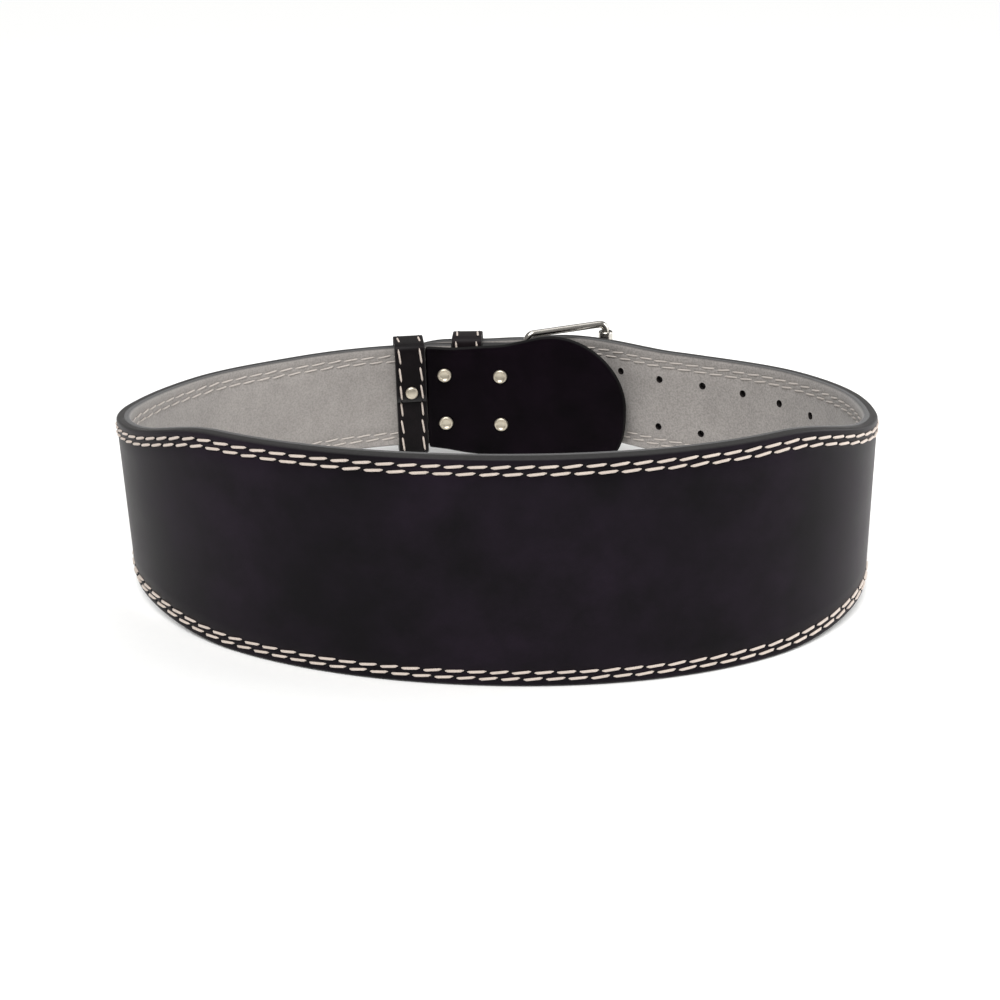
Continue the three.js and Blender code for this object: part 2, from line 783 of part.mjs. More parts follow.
addPiece("outer_leather", makeOuterLeather(), blackLeather);
addPiece("suede_lining", makeSuedeLining(), greySuede);
addPiece("buckle_shield", makeBuckleShield(), darkLeather);
shieldRivets.forEach((rivet, i) => addPiece(`shield_rivet_${i + 1}`, makeShieldRivet(rivet), nickel));
addPiece("buckle_frame", makeBuckleFrame(), steel);
addPiece("buckle_roller", makeBuckleRoller(), steel);
addPiece("prong_upper", makeProng(prongHeights[0]), steel);
addPiece("prong_lower", makeProng(prongHeights[1]), steel);
addPiece("keeper_fixed", makeFixedKeeper(), blackLeather);
addPiece("keeper_riveted", makeRivetedKeeper(), blackLeather);
addPiece("keeper_rivet", makeKeeperRivet(), nickel);

// Stand the belt over the origin: the middle of its footprint, on the floor
const bounds = new THREE.Box3().setFromObject(belt, true);
const middle = bounds.getCenter(new THREE.Vector3());
belt.position.set(-middle.x, -middle.y, -bounds.min.z);

export default belt;
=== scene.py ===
import bisect
import math

import bmesh
import bpy
from bpy.props import FloatProperty, FloatVectorProperty, IntProperty, PointerProperty
from mathutils import Matrix, Vector


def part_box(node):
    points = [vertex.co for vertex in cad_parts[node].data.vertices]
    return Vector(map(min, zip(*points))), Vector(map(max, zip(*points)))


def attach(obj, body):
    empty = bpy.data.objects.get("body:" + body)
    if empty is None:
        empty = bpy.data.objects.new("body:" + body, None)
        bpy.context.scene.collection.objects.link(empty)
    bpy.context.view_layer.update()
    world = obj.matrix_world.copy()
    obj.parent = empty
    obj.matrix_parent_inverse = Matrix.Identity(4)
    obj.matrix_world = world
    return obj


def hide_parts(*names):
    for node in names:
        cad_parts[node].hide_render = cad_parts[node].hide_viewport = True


bl_info = {
    "name": "Weightlifting Belt",
    "version": (1, 0, 0),
    "blender": (4, 5, 0),
    "location": "3D View > Sidebar > Belt",
    "description": "Dresses the solids of a leather weightlifting belt",
    "category": "Object",
}

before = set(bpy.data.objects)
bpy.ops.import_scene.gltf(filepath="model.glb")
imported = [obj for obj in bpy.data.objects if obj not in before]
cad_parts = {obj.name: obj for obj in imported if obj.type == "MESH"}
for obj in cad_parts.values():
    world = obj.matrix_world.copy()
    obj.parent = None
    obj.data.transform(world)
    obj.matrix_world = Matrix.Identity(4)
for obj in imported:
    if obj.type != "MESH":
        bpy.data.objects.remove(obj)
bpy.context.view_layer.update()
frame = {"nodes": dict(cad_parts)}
MM = 0.001
BODY = "root"

# Points closer than this become one, and an outline lower than this is closed
MERGE_DISTANCE = 0.002 * MM
CLOSED_HEIGHT = 0.01 * MM
# Rise for each length of run above which an outline's rounding turns towards the run
STEEP = 0.35
# Distance from section to section along the belt, and from the last seam to the open face
RUN_STEP = 3 * MM
FACE_ROWS = (6 * MM,)
# Radius of the edges of the lining and of the shield
SOFT_EDGE = 1.3 * MM
# How much further in the lining's seams run, how far in the keepers' run, and how deep stitches lie
LINING_INSET = 1.2 * MM
KEEPER_INSET = 2.6 * MM
SINK = 0.1 * MM
# Clearance of the rivets' shanks, and length over which a prong steps out over the roller
RIVET_ROOM = 0.3 * MM
PRONG_CRANK = 13 * MM
# Corners of a square in plan, as shares of half its side
SQUARE = ((-1, -1), (1, -1), (1, 1), (-1, 1))
# Steps and sides of the round shapes
TIP_STEPS, PADDLE_STEPS, PRONG_STEPS, FOLD_STEPS, SEAM_STEPS, BEND_STEPS = 24, 40, 40, 24, 32, 12
BAR_SIDES, WIRE_SIDES, PRONG_SIDES, ROLLER_SIDES, RIVET_SIDES = 32, 24, 20, 64, 48
# A groove's section as (millimetres from its middle, share of its depth), and the rivets' as shares of
# radius and height
GROOVE_ROWS = ((-0.9, 0), (-0.45, 0.7), (0, 1), (0.45, 0.7), (0.9, 0))
SHIELD_HEAD_ROWS = (
    (0, 0.3), (0.3, 0.34), (0.52, 0.46), (0.62, 0.66), (0.69, 0.92), (0.76, 1), (0.84, 0.97), (0.93, 0.78),
    (0.98, 0.5), (1, 0.2), (1, 0),
)
CAP_ROWS = ((1, 0), (1, 0.4), (0.84, 0.9), (0, 1))
KEEPER_HEAD_ROWS = ((0, 1), (0.35, 0.98), (0.7, 0.84), (0.9, 0.6), (1, 0.3))

# Width of the band and flare of the shield's neck, as shares of length and of change in width
TAPER_ROWS = ((0, 0), (0.24, 0.38), (0.48, 0.66), (0.72, 0.87), (1, 1))
UPPER_FLARE_ROWS = ((0, 0.13), (0.2, 0.07), (0.43, 0.2), (0.58, 0.3), (0.78, 0.68), (0.9, 0.92), (1, 1))
LOWER_FLARE_ROWS = ((0, 0), (0.12, 0.1), (0.3, 0.34), (0.58, 0.54), (0.78, 0.82), (1, 1))


# Properties

def length(name, millimetres, description):
    """A length that a user may change, shown in the scene's units."""
    return FloatProperty(
        name=name, description=description, default=millimetres * MM, min=0.0, precision=5,
        subtype="DISTANCE", unit="LENGTH",
    )


def turn(name, degrees, description):
    return FloatProperty(
        name=name, description=description, default=math.radians(degrees), subtype="ANGLE", unit="ROTATION",
    )


def roundness(name, power):
    """The power of a superellipse."""
    return FloatProperty(name=name, description="2 is an ellipse", default=power, min=1.5)


def colour(name, code, description):
    """A colour given as an sRGB hex code."""
    return FloatVectorProperty(
        name=name, description=description, default=linear(code), size=3, min=0.0, max=1.0, subtype="COLOR",
    )


def linear(code):
    """The linear values of an sRGB hex code."""
    channels = [int(code[i:i + 2], 16) / 255 for i in (1, 3, 5)]
    return tuple(c / 12.92 if c <= 0.04045 else ((c + 0.055) / 1.055) ** 2.4 for c in channels)


class BeltLoopSizes(bpy.types.PropertyGroup):
    """Plan of the closed loop, to the middle of the band's thickness."""

    half_width: length("Half width", 171.8, "From the middle to either side")
    back_depth: length("Back depth", 110.1, "From the widest place to the middle of the back")
    front_depth: length("Front depth", 143.7, "From the widest place to the middle of the front")
    back_roundness: roundness("Back roundness", 2.05)
    front_roundness: roundness("Front roundness", 2.31)


class BeltBandSizes(bpy.types.PropertyGroup):
    """Band: outer leather and suede lining, its taper, tongue and holes."""

    back_width: length("Back width", 101, "Height of the band at the back")
    front_width: length("Front width", 57.7, "Height of the band at the buckle")
    leather: length("Outer leather", 3.6, "Thickness of the outer leather")
    lining: length("Lining", 2.6, "Thickness of the suede lining")
    gap: length("Gap", 0.3, "Room between the two layers of the solids")
    edge: length("Edge rounding", 1.1, "Radius of the burnished edges")
    wide_half: length("Wide half length", 120, "Untapered length on either side of the back")
    taper: length("Taper length", 250, "Length over which the band narrows")
    taper_shift: length("Taper shift", 16.7, "How far the wide part sits off the middle")
    overlap: length("Tongue overlap", 84, "How far the tongue passes the hinge")
    tip: length("Tip length", 40, "Length of the tongue's rounded end")
    rise_start: length("Rise start", 84, "Where the tongue starts to rise from the plan curve")
    rise_end: length("Rise end", 18.998, "Where the tongue is furthest out")
    hole: length("Hole diameter", 4, "Diameter of the punched holes")
    pitch: length("Hole pitch", 25.2, "Distance between pairs of holes")
    rows: length("Hole rows", 27.2, "Distance between the two rows of holes")
    holes_back: IntProperty(name="Holes to the back", description="Pairs behind the prongs", default=6, min=0)
    holes_tip: IntProperty(name="Holes to the tip", description="Pairs ahead of the prongs", default=3, min=0)


class BeltBuckleSizes(bpy.types.PropertyGroup):
    """Buckle: wire frame, roller, prongs and the leather folded round the hinge bar."""

    wire: length("Wire", 4, "Diameter of the frame's wire")
    frame: length("Frame length", 46, "From the hinge bar to the roller")
    side: length("Side clearance", 3, "From the band's edge to the frame's wire")
    corner: length("Corner", 3.8, "Radius of the frame's corners")
    flare: length("Flare", 1.6, "How much higher the frame reaches at the roller than at the hinge")
    swing: turn("Swing", 23.5, "How far the frame stands out from the band")
    roller: length("Roller", 8, "Diameter of the roller")
    prong_hole: length("Prong hole", 29.716, "From the hinge to the holes in use")
    prong_thickness: length("Prong thickness", 2.8, "Thickness of the prongs")
    prong_width: length("Prong width", 2.6, "Width of the prongs")
    eye: length("Eye wall", 1.8, "Wall of the prong's eye")
    overhang: length("Overhang", 3.5, "How far the prongs pass the roller's middle")
    prong_room: length("Prong room", 0.5, "Clearance of the prongs in the holes")
    fold: length("Fold run", 10, "Length over which the leather rises to the hinge bar")
    slot_room: length("Slot room", 0.5, "Clearance of the prongs in the fold's slots")


class BeltShieldSizes(bpy.types.PropertyGroup):
    """Shield behind the buckle, with its rivets."""

    thickness: length("Thickness", 3, "Thickness of the shield's leather")
    tilt: turn("Tilt", 1.8, "Dip of the shield's middle line")
    drop: length("Drop", 1.3, "How far the shield's middle lies below the band's")
    neck: length("Neck", 58, "Height of the neck")
    paddle: length("Paddle", 76.4, "Height of the paddle")
    centre: length("Paddle centre", 16, "Where the paddle is at its full height")
    radius: length("Paddle radius", 41, "From the paddle's full height to its end")
    top_roundness: roundness("Top roundness", 1.9)
    bottom_roundness: roundness("Bottom roundness", 2.9)
    column: length("Rivet column", 14.7, "From the hinge to the nearer rivets")
    columns: length("Rivet columns", 31.8, "Distance between the two columns of rivets")
    rows: length("Rivet rows", 28.1, "Distance between the two rows of rivets")
    shank: length("Shank", 3, "Diameter of the rivets' shanks")
    head: length("Head", 7.8, "Diameter of the rivets' heads")
    head_height: length("Head height", 1.3, "Height of the rivets' heads")
    cap: length("Cap", 6, "Diameter of the rivets' outer caps")
    cap_height: length("Cap height", 0.8, "Height of the rivets' outer caps")


class BeltKeeperSizes(bpy.types.PropertyGroup):
    """The two keepers."""

    thickness: length("Thickness", 2.1, "Thickness of the straps")
    room: length("Room", 0.5, "Clearance round the band")
    corner: length("Corner", 1.6, "Radius of the straps' bends")
    fixed_at: length("Fixed keeper", 33.4, "From the hinge to the fixed keeper")
    fixed_width: length("Fixed width", 16.7, "Width of the fixed keeper")
    fixed_rise: length("Fixed rise", 1.6, "Extra room over the band in the fixed keeper")
    riveted_drop: length("Riveted drop", 2.6, "Extra room under the band in the riveted keeper")
    riveted_at: length("Riveted keeper", 65.8, "From the hinge to the riveted keeper")
    riveted_width: length("Riveted width", 16.8, "Width of the riveted keeper")
    rivet_height: length("Rivet height", 3.9, "Height of the lap's rivet over the band's middle")
    lap_top: length("Under end", 5.5, "From the rivet to the end of the under layer")
    lap_under: length("Upper end", 5.5, "From the rivet to the end of the upper layer")
    rivet_head: length("Rivet head", 7, "Diameter of the lap's rivet")


class BeltStitchSizes(bpy.types.PropertyGroup):
    """Stitching along the edges."""

    length: length("Stitch", 8.1, "Length of one stitch")
    pitch: length("Pitch", 9.3, "Distance from stitch to stitch")
    keeper_pitch: length("Keeper pitch", 10.3, "Distance from stitch to stitch on the keepers")
    thread: length("Thread", 1.28, "Thickness of the thread")
    first: length("First row", 3.6, "Distance of the outer row from the edge")
    second: length("Second row", 6.6, "Distance of the inner row from the edge")
    groove: length("Groove", 0.25, "Depth that the thread pulls the leather in")
    seed: IntProperty(name="Seed", description="Seed of the stitches' unevenness", default=7)


class BeltColours(bpy.types.PropertyGroup):
    """Colours of the finishes."""

    leather: colour("Leather", "#120b14", "Dyed leather")
    shield: colour("Shield", "#090409", "Leather of the shield")
    keeper: colour("Keepers", "#120e10", "Leather of the keepers")
    paint: colour("Edge paint", "#302f2f", "Burnished edge")
    suede: colour("Suede", "#948f8b", "Nap of the lining")
    thread: colour("Thread", "#cdbfb4", "Waxed thread")
    bobbin: colour("Lining thread", "#bdb5ae", "Thread on the lining's side, dusted by the nap")
    nickel: colour("Nickel", "#cfc6b4", "Plated rivets")
    steel: colour("Steel", "#bdb9b2", "Plated buckle")
    floor: colour("Floor", "#f8f8f7", "Studio paper")


# Layout of the belt

def smooth(t):
    s = min(max(t, 0.0), 1.0)
    return s * s * (3 - 2 * s)


def mix(a, b, t):
    return a + (b - a) * t


def left_of(behind, ahead):
    """The direction in plan to the left of a run."""
    return Vector((behind.y - ahead.y, ahead.x - behind.x)).normalized()


def rows_at(rows, position):
    """Rises through rows of (position, value) without overshooting."""
    last = len(rows) - 1
    slopes = [(rows[i + 1][1] - rows[i][1]) / (rows[i + 1][0] - rows[i][0]) for i in range(last)]

    def tangent(i):
        if i in (0, last) or slopes[i - 1] * slopes[i] <= 0:
            return 0.0
        return 2 * slopes[i - 1] * slopes[i] / (slopes[i - 1] + slopes[i])

    if position <= rows[0][0]:
        return rows[0][1]
    if position >= rows[last][0]:
        return rows[last][1]
    i = next(k for k in range(last + 1) if rows[k][0] > position) - 1
    span = rows[i + 1][0] - rows[i][0]
    t = (position - rows[i][0]) / span
    start = t * (1 - t) * (1 - t) * span * tangent(i)
    end = t * t * (1 - t) * span * tangent(i + 1)
    return mix(rows[i][1], rows[i + 1][1], smooth(t)) + start - end


class Layout:
    """Where each layer of the belt runs. Places near the buckle are distances from the middle of the
    front, positive towards the keepers; a lane says how far outwards a layer runs there."""

    samples = 1440

    def __init__(self, scene):
        self.loop = scene.belt_loop
        self.band = scene.belt_band
        self.buckle = scene.belt_buckle
        self.shield = scene.belt_shield
        self.keeper = scene.belt_keeper
        self.stitch = scene.belt_stitch
        self.walk_plan()
        band, buckle, shield, keeper = self.band, self.buckle, self.shield, self.keeper
        self.face = (band.leather + band.gap + band.lining) / 2
        self.leather_inner = self.face - band.leather
        self.lining_outer = self.leather_inner - band.gap
        self.wire = buckle.wire / 2
        self.bar_clear = self.wire + band.gap
        self.bar_out = self.lining_outer + self.bar_clear
        self.fold_outer = self.bar_out + self.bar_clear + band.leather
        self.over_fold = self.fold_outer + band.gap + self.face
        self.over_band = 2 * self.face + shield.cap_height + 2 * band.gap
        self.frame_half = band.front_width / 2 + buckle.side + self.wire
        self.rivet_centre = shield.column + shield.columns
        drop = shield.drop + math.tan(shield.tilt) * (self.rivet_centre + shield.centre)
        self.front_middle = shield.paddle / 2 + drop
        self.front_lift = self.front_middle - band.front_width / 2
        self.lining_end = keeper.fixed_at + keeper.fixed_width / 2 + keeper.room
        self.fold_end = keeper.fixed_at - keeper.fixed_width / 2 - keeper.room
        self.shield_end = keeper.riveted_at - keeper.riveted_width / 2 - keeper.room
        self.tongue_outer = self.over_band + self.face
        self.keeper_outer = self.tongue_outer + keeper.room
        self.keeper_rivet = self.front_middle + keeper.rivet_height
        self.find_buckle()
        low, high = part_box("buckle_roller")
        roller = (Vector(low) + Vector(high)) / 2
        self.stand = Vector((0, 0, 0))
        self.stand = roller - self.frame_point(buckle.frame, 0, self.front_middle)

    def walk_plan(self):
        loop = self.loop
        self.points = []
        for i in range(self.samples + 1):
            angle = i / self.samples * 2 * math.pi
            side, front = -math.sin(angle), -math.cos(angle)
            roundness = loop.back_roundness if front < 0 else loop.front_roundness
            depth = loop.back_depth if front < 0 else loop.front_depth
            x = loop.half_width * math.copysign(abs(side) ** (2 / roundness), side)
            y = depth * math.copysign(abs(front) ** (2 / roundness), front)
            self.points.append(Vector((x, y)))
        self.walked = [0.0]
        for before, here in zip(self.points, self.points[1:]):
            self.walked.append(self.walked[-1] + (here - before).length)
        self.length = self.walked[-1]

    def plan_point(self, distance):
        wrapped = distance % self.length
        high = bisect.bisect_right(self.walked, wrapped, 1, self.samples)
        t = (wrapped - self.walked[high - 1]) / (self.walked[high] - self.walked[high - 1])
        return self.points[high - 1].lerp(self.points[high], t)

    def plan_normal(self, distance):
        return left_of(self.plan_point(distance - 2 * MM), self.plan_point(distance + 2 * MM))

    def front_position(self, place):
        return self.length / 2 - place

    def find_buckle(self):
        buckle = self.buckle
        front = self.front_position(0)
        self.hinge = self.plan_point(front) + self.plan_normal(front) * self.bar_out
        self.frame_along = Vector((math.cos(buckle.swing), math.sin(buckle.swing)))
        self.frame_across = Vector((-math.sin(buckle.swing), math.cos(buckle.swing)))
        hole = self.front_position(-buckle.prong_hole)
        normal = self.plan_normal(hole)
        meets = (self.hinge - self.plan_point(hole)).dot(self.frame_across) / normal.dot(self.frame_across)
        band = self.band
        share = (band.rise_start - buckle.prong_hole) / (band.rise_start - band.rise_end)
        self.rise_peak = meets / smooth(share)

    def frame_point(self, along, across, z):
        place = self.hinge + self.frame_along * along + self.frame_across * across
        return Vector((place.x, place.y, z)) + self.stand

    def flat_lane(self, place):
        return 0.0

    def tongue_lane(self, place):
        band, wire = self.band, self.buckle.wire
        if place < -band.rise_end:
            return self.rise_peak * smooth((place + band.rise_start) / (band.rise_start - band.rise_end))
        if place < wire:
            over = smooth((place + band.rise_end) / (band.rise_end + wire))
            return mix(self.rise_peak, self.over_fold, over)
        return mix(self.over_fold, self.over_band, smooth((place - wire) / (self.fold_end - wire)))

    def fold_lane(self, place):
        rise = self.bar_out + self.bar_clear - self.leather_inner
        return rise * smooth((self.buckle.fold - place) / self.buckle.fold)

    def on_lane(self, lane, place):
        position = self.front_position(place)
        return self.plan_point(position) + self.plan_normal(position) * lane(place)

    def lane_normal(self, lane, place):
        return left_of(self.on_lane(lane, place + 0.5 * MM), self.on_lane(lane, place - 0.5 * MM))

    def lane_point(self, lane, place, outward=0.0):
        return self.on_lane(lane, place) + self.lane_normal(lane, place) * outward

    def at(self, lane, place, outward, z):
        """A point of the standing belt."""
        flat = self.lane_point(lane, place, outward)
        return Vector((flat.x, flat.y, z)) + self.stand

    def band_edges(self, place):
        from_back = self.length / 2 - place
        wrapped = from_back - self.length if from_back > self.length else from_back
        offset = (wrapped + self.length * 1.5) % self.length - self.length / 2 + self.band.taper_shift
        share = rows_at(TAPER_ROWS, (abs(offset) - self.band.wide_half) / self.band.taper)
        low = self.front_lift * share
        return low, low + mix(self.band.back_width, self.band.front_width, share)

    def tongue_edges(self, place):
        low, high = self.band_edges(place)
        reach = (place - self.band.overlap + self.band.tip) / self.band.tip
        half = (high - low) / 2 * math.sqrt(1 - min(max(reach, 0.0), 1.0) ** 2)
        return (low + high) / 2 - half, (low + high) / 2 + half

    def shield_axis(self, place):
        return self.front_middle - self.shield.drop - math.tan(self.shield.tilt) * (self.rivet_centre - place)

    def shield_edges(self, place):
        shield = self.shield
        share = (self.shield_end - place) / (self.shield_end + shield.centre)
        reach = min(max((-shield.centre - place) / shield.radius, 0.0), 1.0)
        low, high = (
            mix(shield.neck, shield.paddle, rows_at(rows, share)) / 2 * (1 - reach ** power) ** (1 / power)
            for rows, power in (
                (LOWER_FLARE_ROWS, shield.bottom_roundness), (UPPER_FLARE_ROWS, shield.top_roundness))
        )
        axis = self.shield_axis(place)
        return axis - low, axis + high

    def hole_places(self):
        """Pairs of holes, evenly spaced along the tongue's own path from the pair at the prongs."""
        places = [-self.buckle.prong_hole]
        for direction, count in ((-1, self.band.holes_back), (1, self.band.holes_tip)):
            place = -self.buckle.prong_hole
            for _ in range(count):
                walked = 0.0
                here = self.on_lane(self.tongue_lane, place)
                while walked < self.band.pitch:
                    place += direction * 0.25 * MM
                    following = self.on_lane(self.tongue_lane, place)
                    walked += (following - here).length
                    here = following
                places.append(place)
        return places

    def holes(self):
        """Place and height of each hole, the upper one of a pair first."""
        for place in self.hole_places():
            low, high = self.band_edges(place)
            for side in (1, -1):
                yield place, (low + high) / 2 + side * self.band.rows / 2

    def prong_heights(self):
        return [self.front_middle + side * self.band.rows / 2 for side in (1, -1)]

    def rivet_places(self):
        shield = self.shield
        return [
            (column, self.shield_axis(column) + row * shield.rows / 2)
            for column in (self.rivet_centre, shield.column)
            for row in (1, -1)
        ]


# Meshes

def quarter(steps):
    """(cosine, sine) of even steps through a quarter turn."""
    angles = [i / steps * math.pi / 2 for i in range(steps + 1)]
    return [(math.cos(angle), math.sin(angle)) for angle in angles]


def full_turn(sides):
    """(cosine, sine) of even steps round a full turn."""
    angles = [i / sides * 2 * math.pi for i in range(sides)]
    return [(math.cos(angle), math.sin(angle)) for angle in angles]


def upright(flat, z=0.0):
    """A point or direction in plan, at a height."""
    return Vector((flat.x, flat.y, z))


def mesh_object(name, points, faces, smooth_angle=40.0, values=None):
    """An object at the origin from points and faces, facing outwards; values are floats for its points."""
    mesh = bpy.data.meshes.new(name)
    mesh.from_pydata([tuple(point) for point in points], [], faces)
    if values is not None:
        attribute = mesh.attributes.new("edge", "FLOAT", "POINT")
        attribute.data.foreach_set("value", values)
    made = bmesh.new()
    made.from_mesh(mesh)
    bmesh.ops.remove_doubles(made, verts=made.verts, dist=MERGE_DISTANCE)
    bmesh.ops.dissolve_degenerate(made, edges=made.edges, dist=MERGE_DISTANCE)
    bmesh.ops.recalc_face_normals(made, faces=made.faces)
    made.to_mesh(mesh)
    made.free()
    mesh.shade_smooth()
    mesh.set_sharp_from_angle(angle=math.radians(smooth_angle))
    thing = bpy.data.objects.new(name, mesh)
    bpy.context.scene.collection.objects.link(thing)
    return thing


def ring_faces(sections, size, closed=False):
    """Quads between sections of the same number of points, and caps on an open run."""
    faces = []
    for i in range(sections if closed else sections - 1):
        here, following = i * size, (i + 1) % sections * size
        for j in range(size):
            side = (j + 1) % size
            faces.append((here + j, here + side, following + side, following + j))
    if not closed:
        faces.append(tuple(range(size)))
        faces.append(tuple(range((sections - 1) * size, sections * size)))
    return faces


def loft(name, sections, closed=False, smooth_angle=40.0, values=None):
    points = [point for section in sections for point in section]
    faces = ring_faces(len(sections), len(sections[0]), closed)
    return mesh_object(name, points, faces, smooth_angle, values)


def corner_arc(radius):
    """(inset, depth) round a corner of the section, from the edge to the face."""
    return [(radius * (1 - cosine), radius * (1 - sine)) for cosine, sine in quarter(5)]


def section_rows(thickness, radius, back_radius, seams, groove, face_rows, painted=2):
    """One half of a leather section: (inset from the edge, depth from the back, edge paint). The paint
    covers the edge and that many steps of its rounding."""
    half = [(0.0, 0.0, 1.0)]
    if back_radius:
        half = [(inset, depth, 1 - k / 6) for k, (inset, depth) in enumerate(corner_arc(back_radius))][::-1]
    for k, (inset, depth) in enumerate(corner_arc(radius)):
        half.append((inset, thickness - depth, max(1 - max(k - painted, 0) / 3, 0.0)))
    for seam in seams:
        for offset, share in GROOVE_ROWS:
            half.append((seam + offset * MM, thickness - groove * share, 0.0))
    return half + [(half[-1][0] + row, thickness, 0.0) for row in face_rows]


def plate(name, stations, half, middle_rows):
    """Leather set on edge. A station is (back point, front point, along, low, high, leans): the two faces
    in plan, the direction of its run, its heights, and how far each outline turns towards the run."""
    thickness = half[-1][1]
    sections = []
    for back, front, along, low, high, *leans in stations:
        edges = []
        for edge_z, lean, sign in zip((low, high), leans, (1, -1)):
            rise = sign * math.sqrt(max(1 - lean * lean, 0.0))
            edges.append([
                upright(back.lerp(front, depth / thickness) - along * (inset * lean), edge_z + inset * rise)
                for inset, depth, _ in half
            ])
        lower, upper = edges
        middle = [lower[-1].lerp(upper[-1], i / (middle_rows + 1)) for i in range(1, middle_rows + 1)]
        sections.append(lower + middle + upper[::-1])
    paint = [row[2] for row in half]
    return loft(name, sections, values=(paint + [0.0] * middle_rows + paint[::-1]) * len(sections))


def run_stations(layout, lane, places, edges, back, front, closing):
    """Stations on a lane; closing is +1 or -1 for the run direction in which the outline closes. An
    outline that climbs steeply or closes turns towards the run."""
    stations = []
    heights = [edges(place) for place in places]
    for i, place in enumerate(places):
        low, high = heights[i]
        before, after = max(i - 1, 0), min(i + 1, len(places) - 1)
        run = places[after] - places[before]
        leans = []
        for side in (0, 1):
            rise = heights[after][side] - heights[before][side]
            if high - low < CLOSED_HEIGHT:
                leans.append(1.0)
            else:
                leans.append(abs(rise) / math.hypot(run, rise) if abs(rise) > STEEP * abs(run) else 0.0)
        normal = layout.lane_normal(lane, place)
        along = Vector((normal.y, -normal.x)) * -closing
        faces = [layout.lane_point(lane, place, outward) for outward in (back, front)]
        stations.append((*faces, along, low, high, *leans))
    return stations


def even(start, end, step):
    count = max(int(math.ceil(abs(end - start) / step)), 1)
    return [mix(start, end, i / count) for i in range(count + 1)]


def bar(start, end, radius):
    """Points and faces of a round bar."""
    axis = (end - start).normalized()
    side = axis.orthogonal().normalized()
    other = axis.cross(side)
    rings = [
        place + side * radius * cosine + other * radius * sine
        for place in (start, end) for cosine, sine in full_turn(BAR_SIDES)
    ]
    return rings, ring_faces(2, BAR_SIDES)


def block(centre, size):
    """Points and faces of an upright block."""
    corners = [
        Vector((centre.x + x * size.x / 2, centre.y + y * size.y / 2, centre.z + z * size.z / 2))
        for z in (-1, 1) for x, y in SQUARE
    ]
    return corners, ring_faces(2, 4)


def lathe(profile, place, sides, bored=False):
    """Points and faces of an upright turned piece with (radius, height) rows. The wall of a bore takes
    the place of its caps."""
    axis = Vector((0, 0, 1))
    side = axis.orthogonal().normalized()
    other = axis.cross(side)
    points = [
        place + axis * height + (side * cosine + other * sine) * radius
        for radius, height in profile for cosine, sine in full_turn(sides)
    ]
    faces = ring_faces(len(profile), sides)
    if bored:
        last = (len(profile) - 1) * sides
        faces[-2:] = [(j, (j + 1) % sides, last + (j + 1) % sides, last + j) for j in range(sides)]
    return points, faces


def combine(thing, tool, operation, smooth_angle):
    """Cuts a tool out of a piece or joins it on. The walls of a cut take the tool's material."""
    modifier = thing.modifiers.new("Shape", "BOOLEAN")
    modifier.operation = operation
    modifier.solver = "EXACT"
    if operation == "DIFFERENCE":
        modifier.material_mode = "TRANSFER"
    modifier.object = tool
    settle(thing)
    thing.data.set_sharp_from_angle(angle=math.radians(smooth_angle))
    bpy.data.objects.remove(tool)


def cut(thing, cutters):
    """Cuts holes with punched walls."""
    points, faces = [], []
    for cutter_points, cutter_faces in cutters:
        faces += [tuple(i + len(points) for i in face) for face in cutter_faces]
        points += cutter_points
    tool = mesh_object("cutters", points, faces)
    tool.data.materials.append(hole_wall())
    combine(thing, tool, "DIFFERENCE", 35)


def settle(thing):
    """Turns an object with modifiers into a plain mesh."""
    depsgraph = bpy.context.evaluated_depsgraph_get()
    mesh = bpy.data.meshes.new_from_object(thing.evaluated_get(depsgraph), depsgraph=depsgraph)
    old = thing.data
    thing.modifiers.clear()
    thing.data = mesh
    bpy.data.meshes.remove(old)


def belongs(thing, material, slot, *nodes):
    """Finishes a piece: material, body and the solids that it stands for. Its material slot argument is not
    used.
    """
    if material:
        if thing.data.materials:
            thing.data.materials[0] = material
        else:
            thing.data.materials.append(material)
    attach(thing, BODY)
    if nodes:
        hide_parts(*nodes)


# Geometry Nodes

def new_tree(name, inputs):
    """A tree with named inputs, an output and its group nodes."""
    tree = bpy.data.node_groups.new(name, "GeometryNodeTree")
    tree.interface.new_socket("Geometry", in_out="INPUT", socket_type="NodeSocketGeometry")
    tree.interface.new_socket("Geometry", in_out="OUTPUT", socket_type="NodeSocketGeometry")
    for socket_name, kind in inputs.items():
        tree.interface.new_socket(socket_name, in_out="INPUT", socket_type="NodeSocket" + kind)
    return tree, tree.nodes.new("NodeGroupInput").outputs, tree.nodes.new("NodeGroupOutput")


def run_tree(name, tree, points, edges, values):
    """Runs a tree on (point, outward direction) pairs and their edges, and keeps a plain mesh."""
    mesh = bpy.data.meshes.new(name)
    mesh.from_pydata([tuple(point) for point, _ in points], edges, [])
    attribute = mesh.attributes.new("outward", "FLOAT_VECTOR", "POINT")
    attribute.data.foreach_set("vector", [part for _, outward in points for part in outward])
    thing = bpy.data.objects.new(name, mesh)
    bpy.context.scene.collection.objects.link(thing)
    modifier = thing.modifiers.new(tree.name, "NODES")
    modifier.node_group = tree
    for item in tree.interface.items_tree:
        if item.in_out == "INPUT" and item.name in values:
            modifier[item.identifier] = values[item.name]
    settle(thing)
    return thing


def fill(tree, node, inputs):
    """Gives a node's inputs their values or links. A node among them stands for its first output in use."""
    for socket, value in inputs.items():
        if isinstance(value, bpy.types.Node):
            value = next(output for output in value.outputs if output.enabled)
        if isinstance(value, bpy.types.NodeSocket):
            tree.links.new(value, node.inputs[socket])
        else:
            node.inputs[socket].default_value = value


def add(tree, kind, inputs=None, **settings):
    """Adds a node with its settings, values and links."""
    node = tree.nodes.new(kind)
    for name, value in settings.items():
        setattr(node, name, value)
    fill(tree, node, inputs or {})
    return node


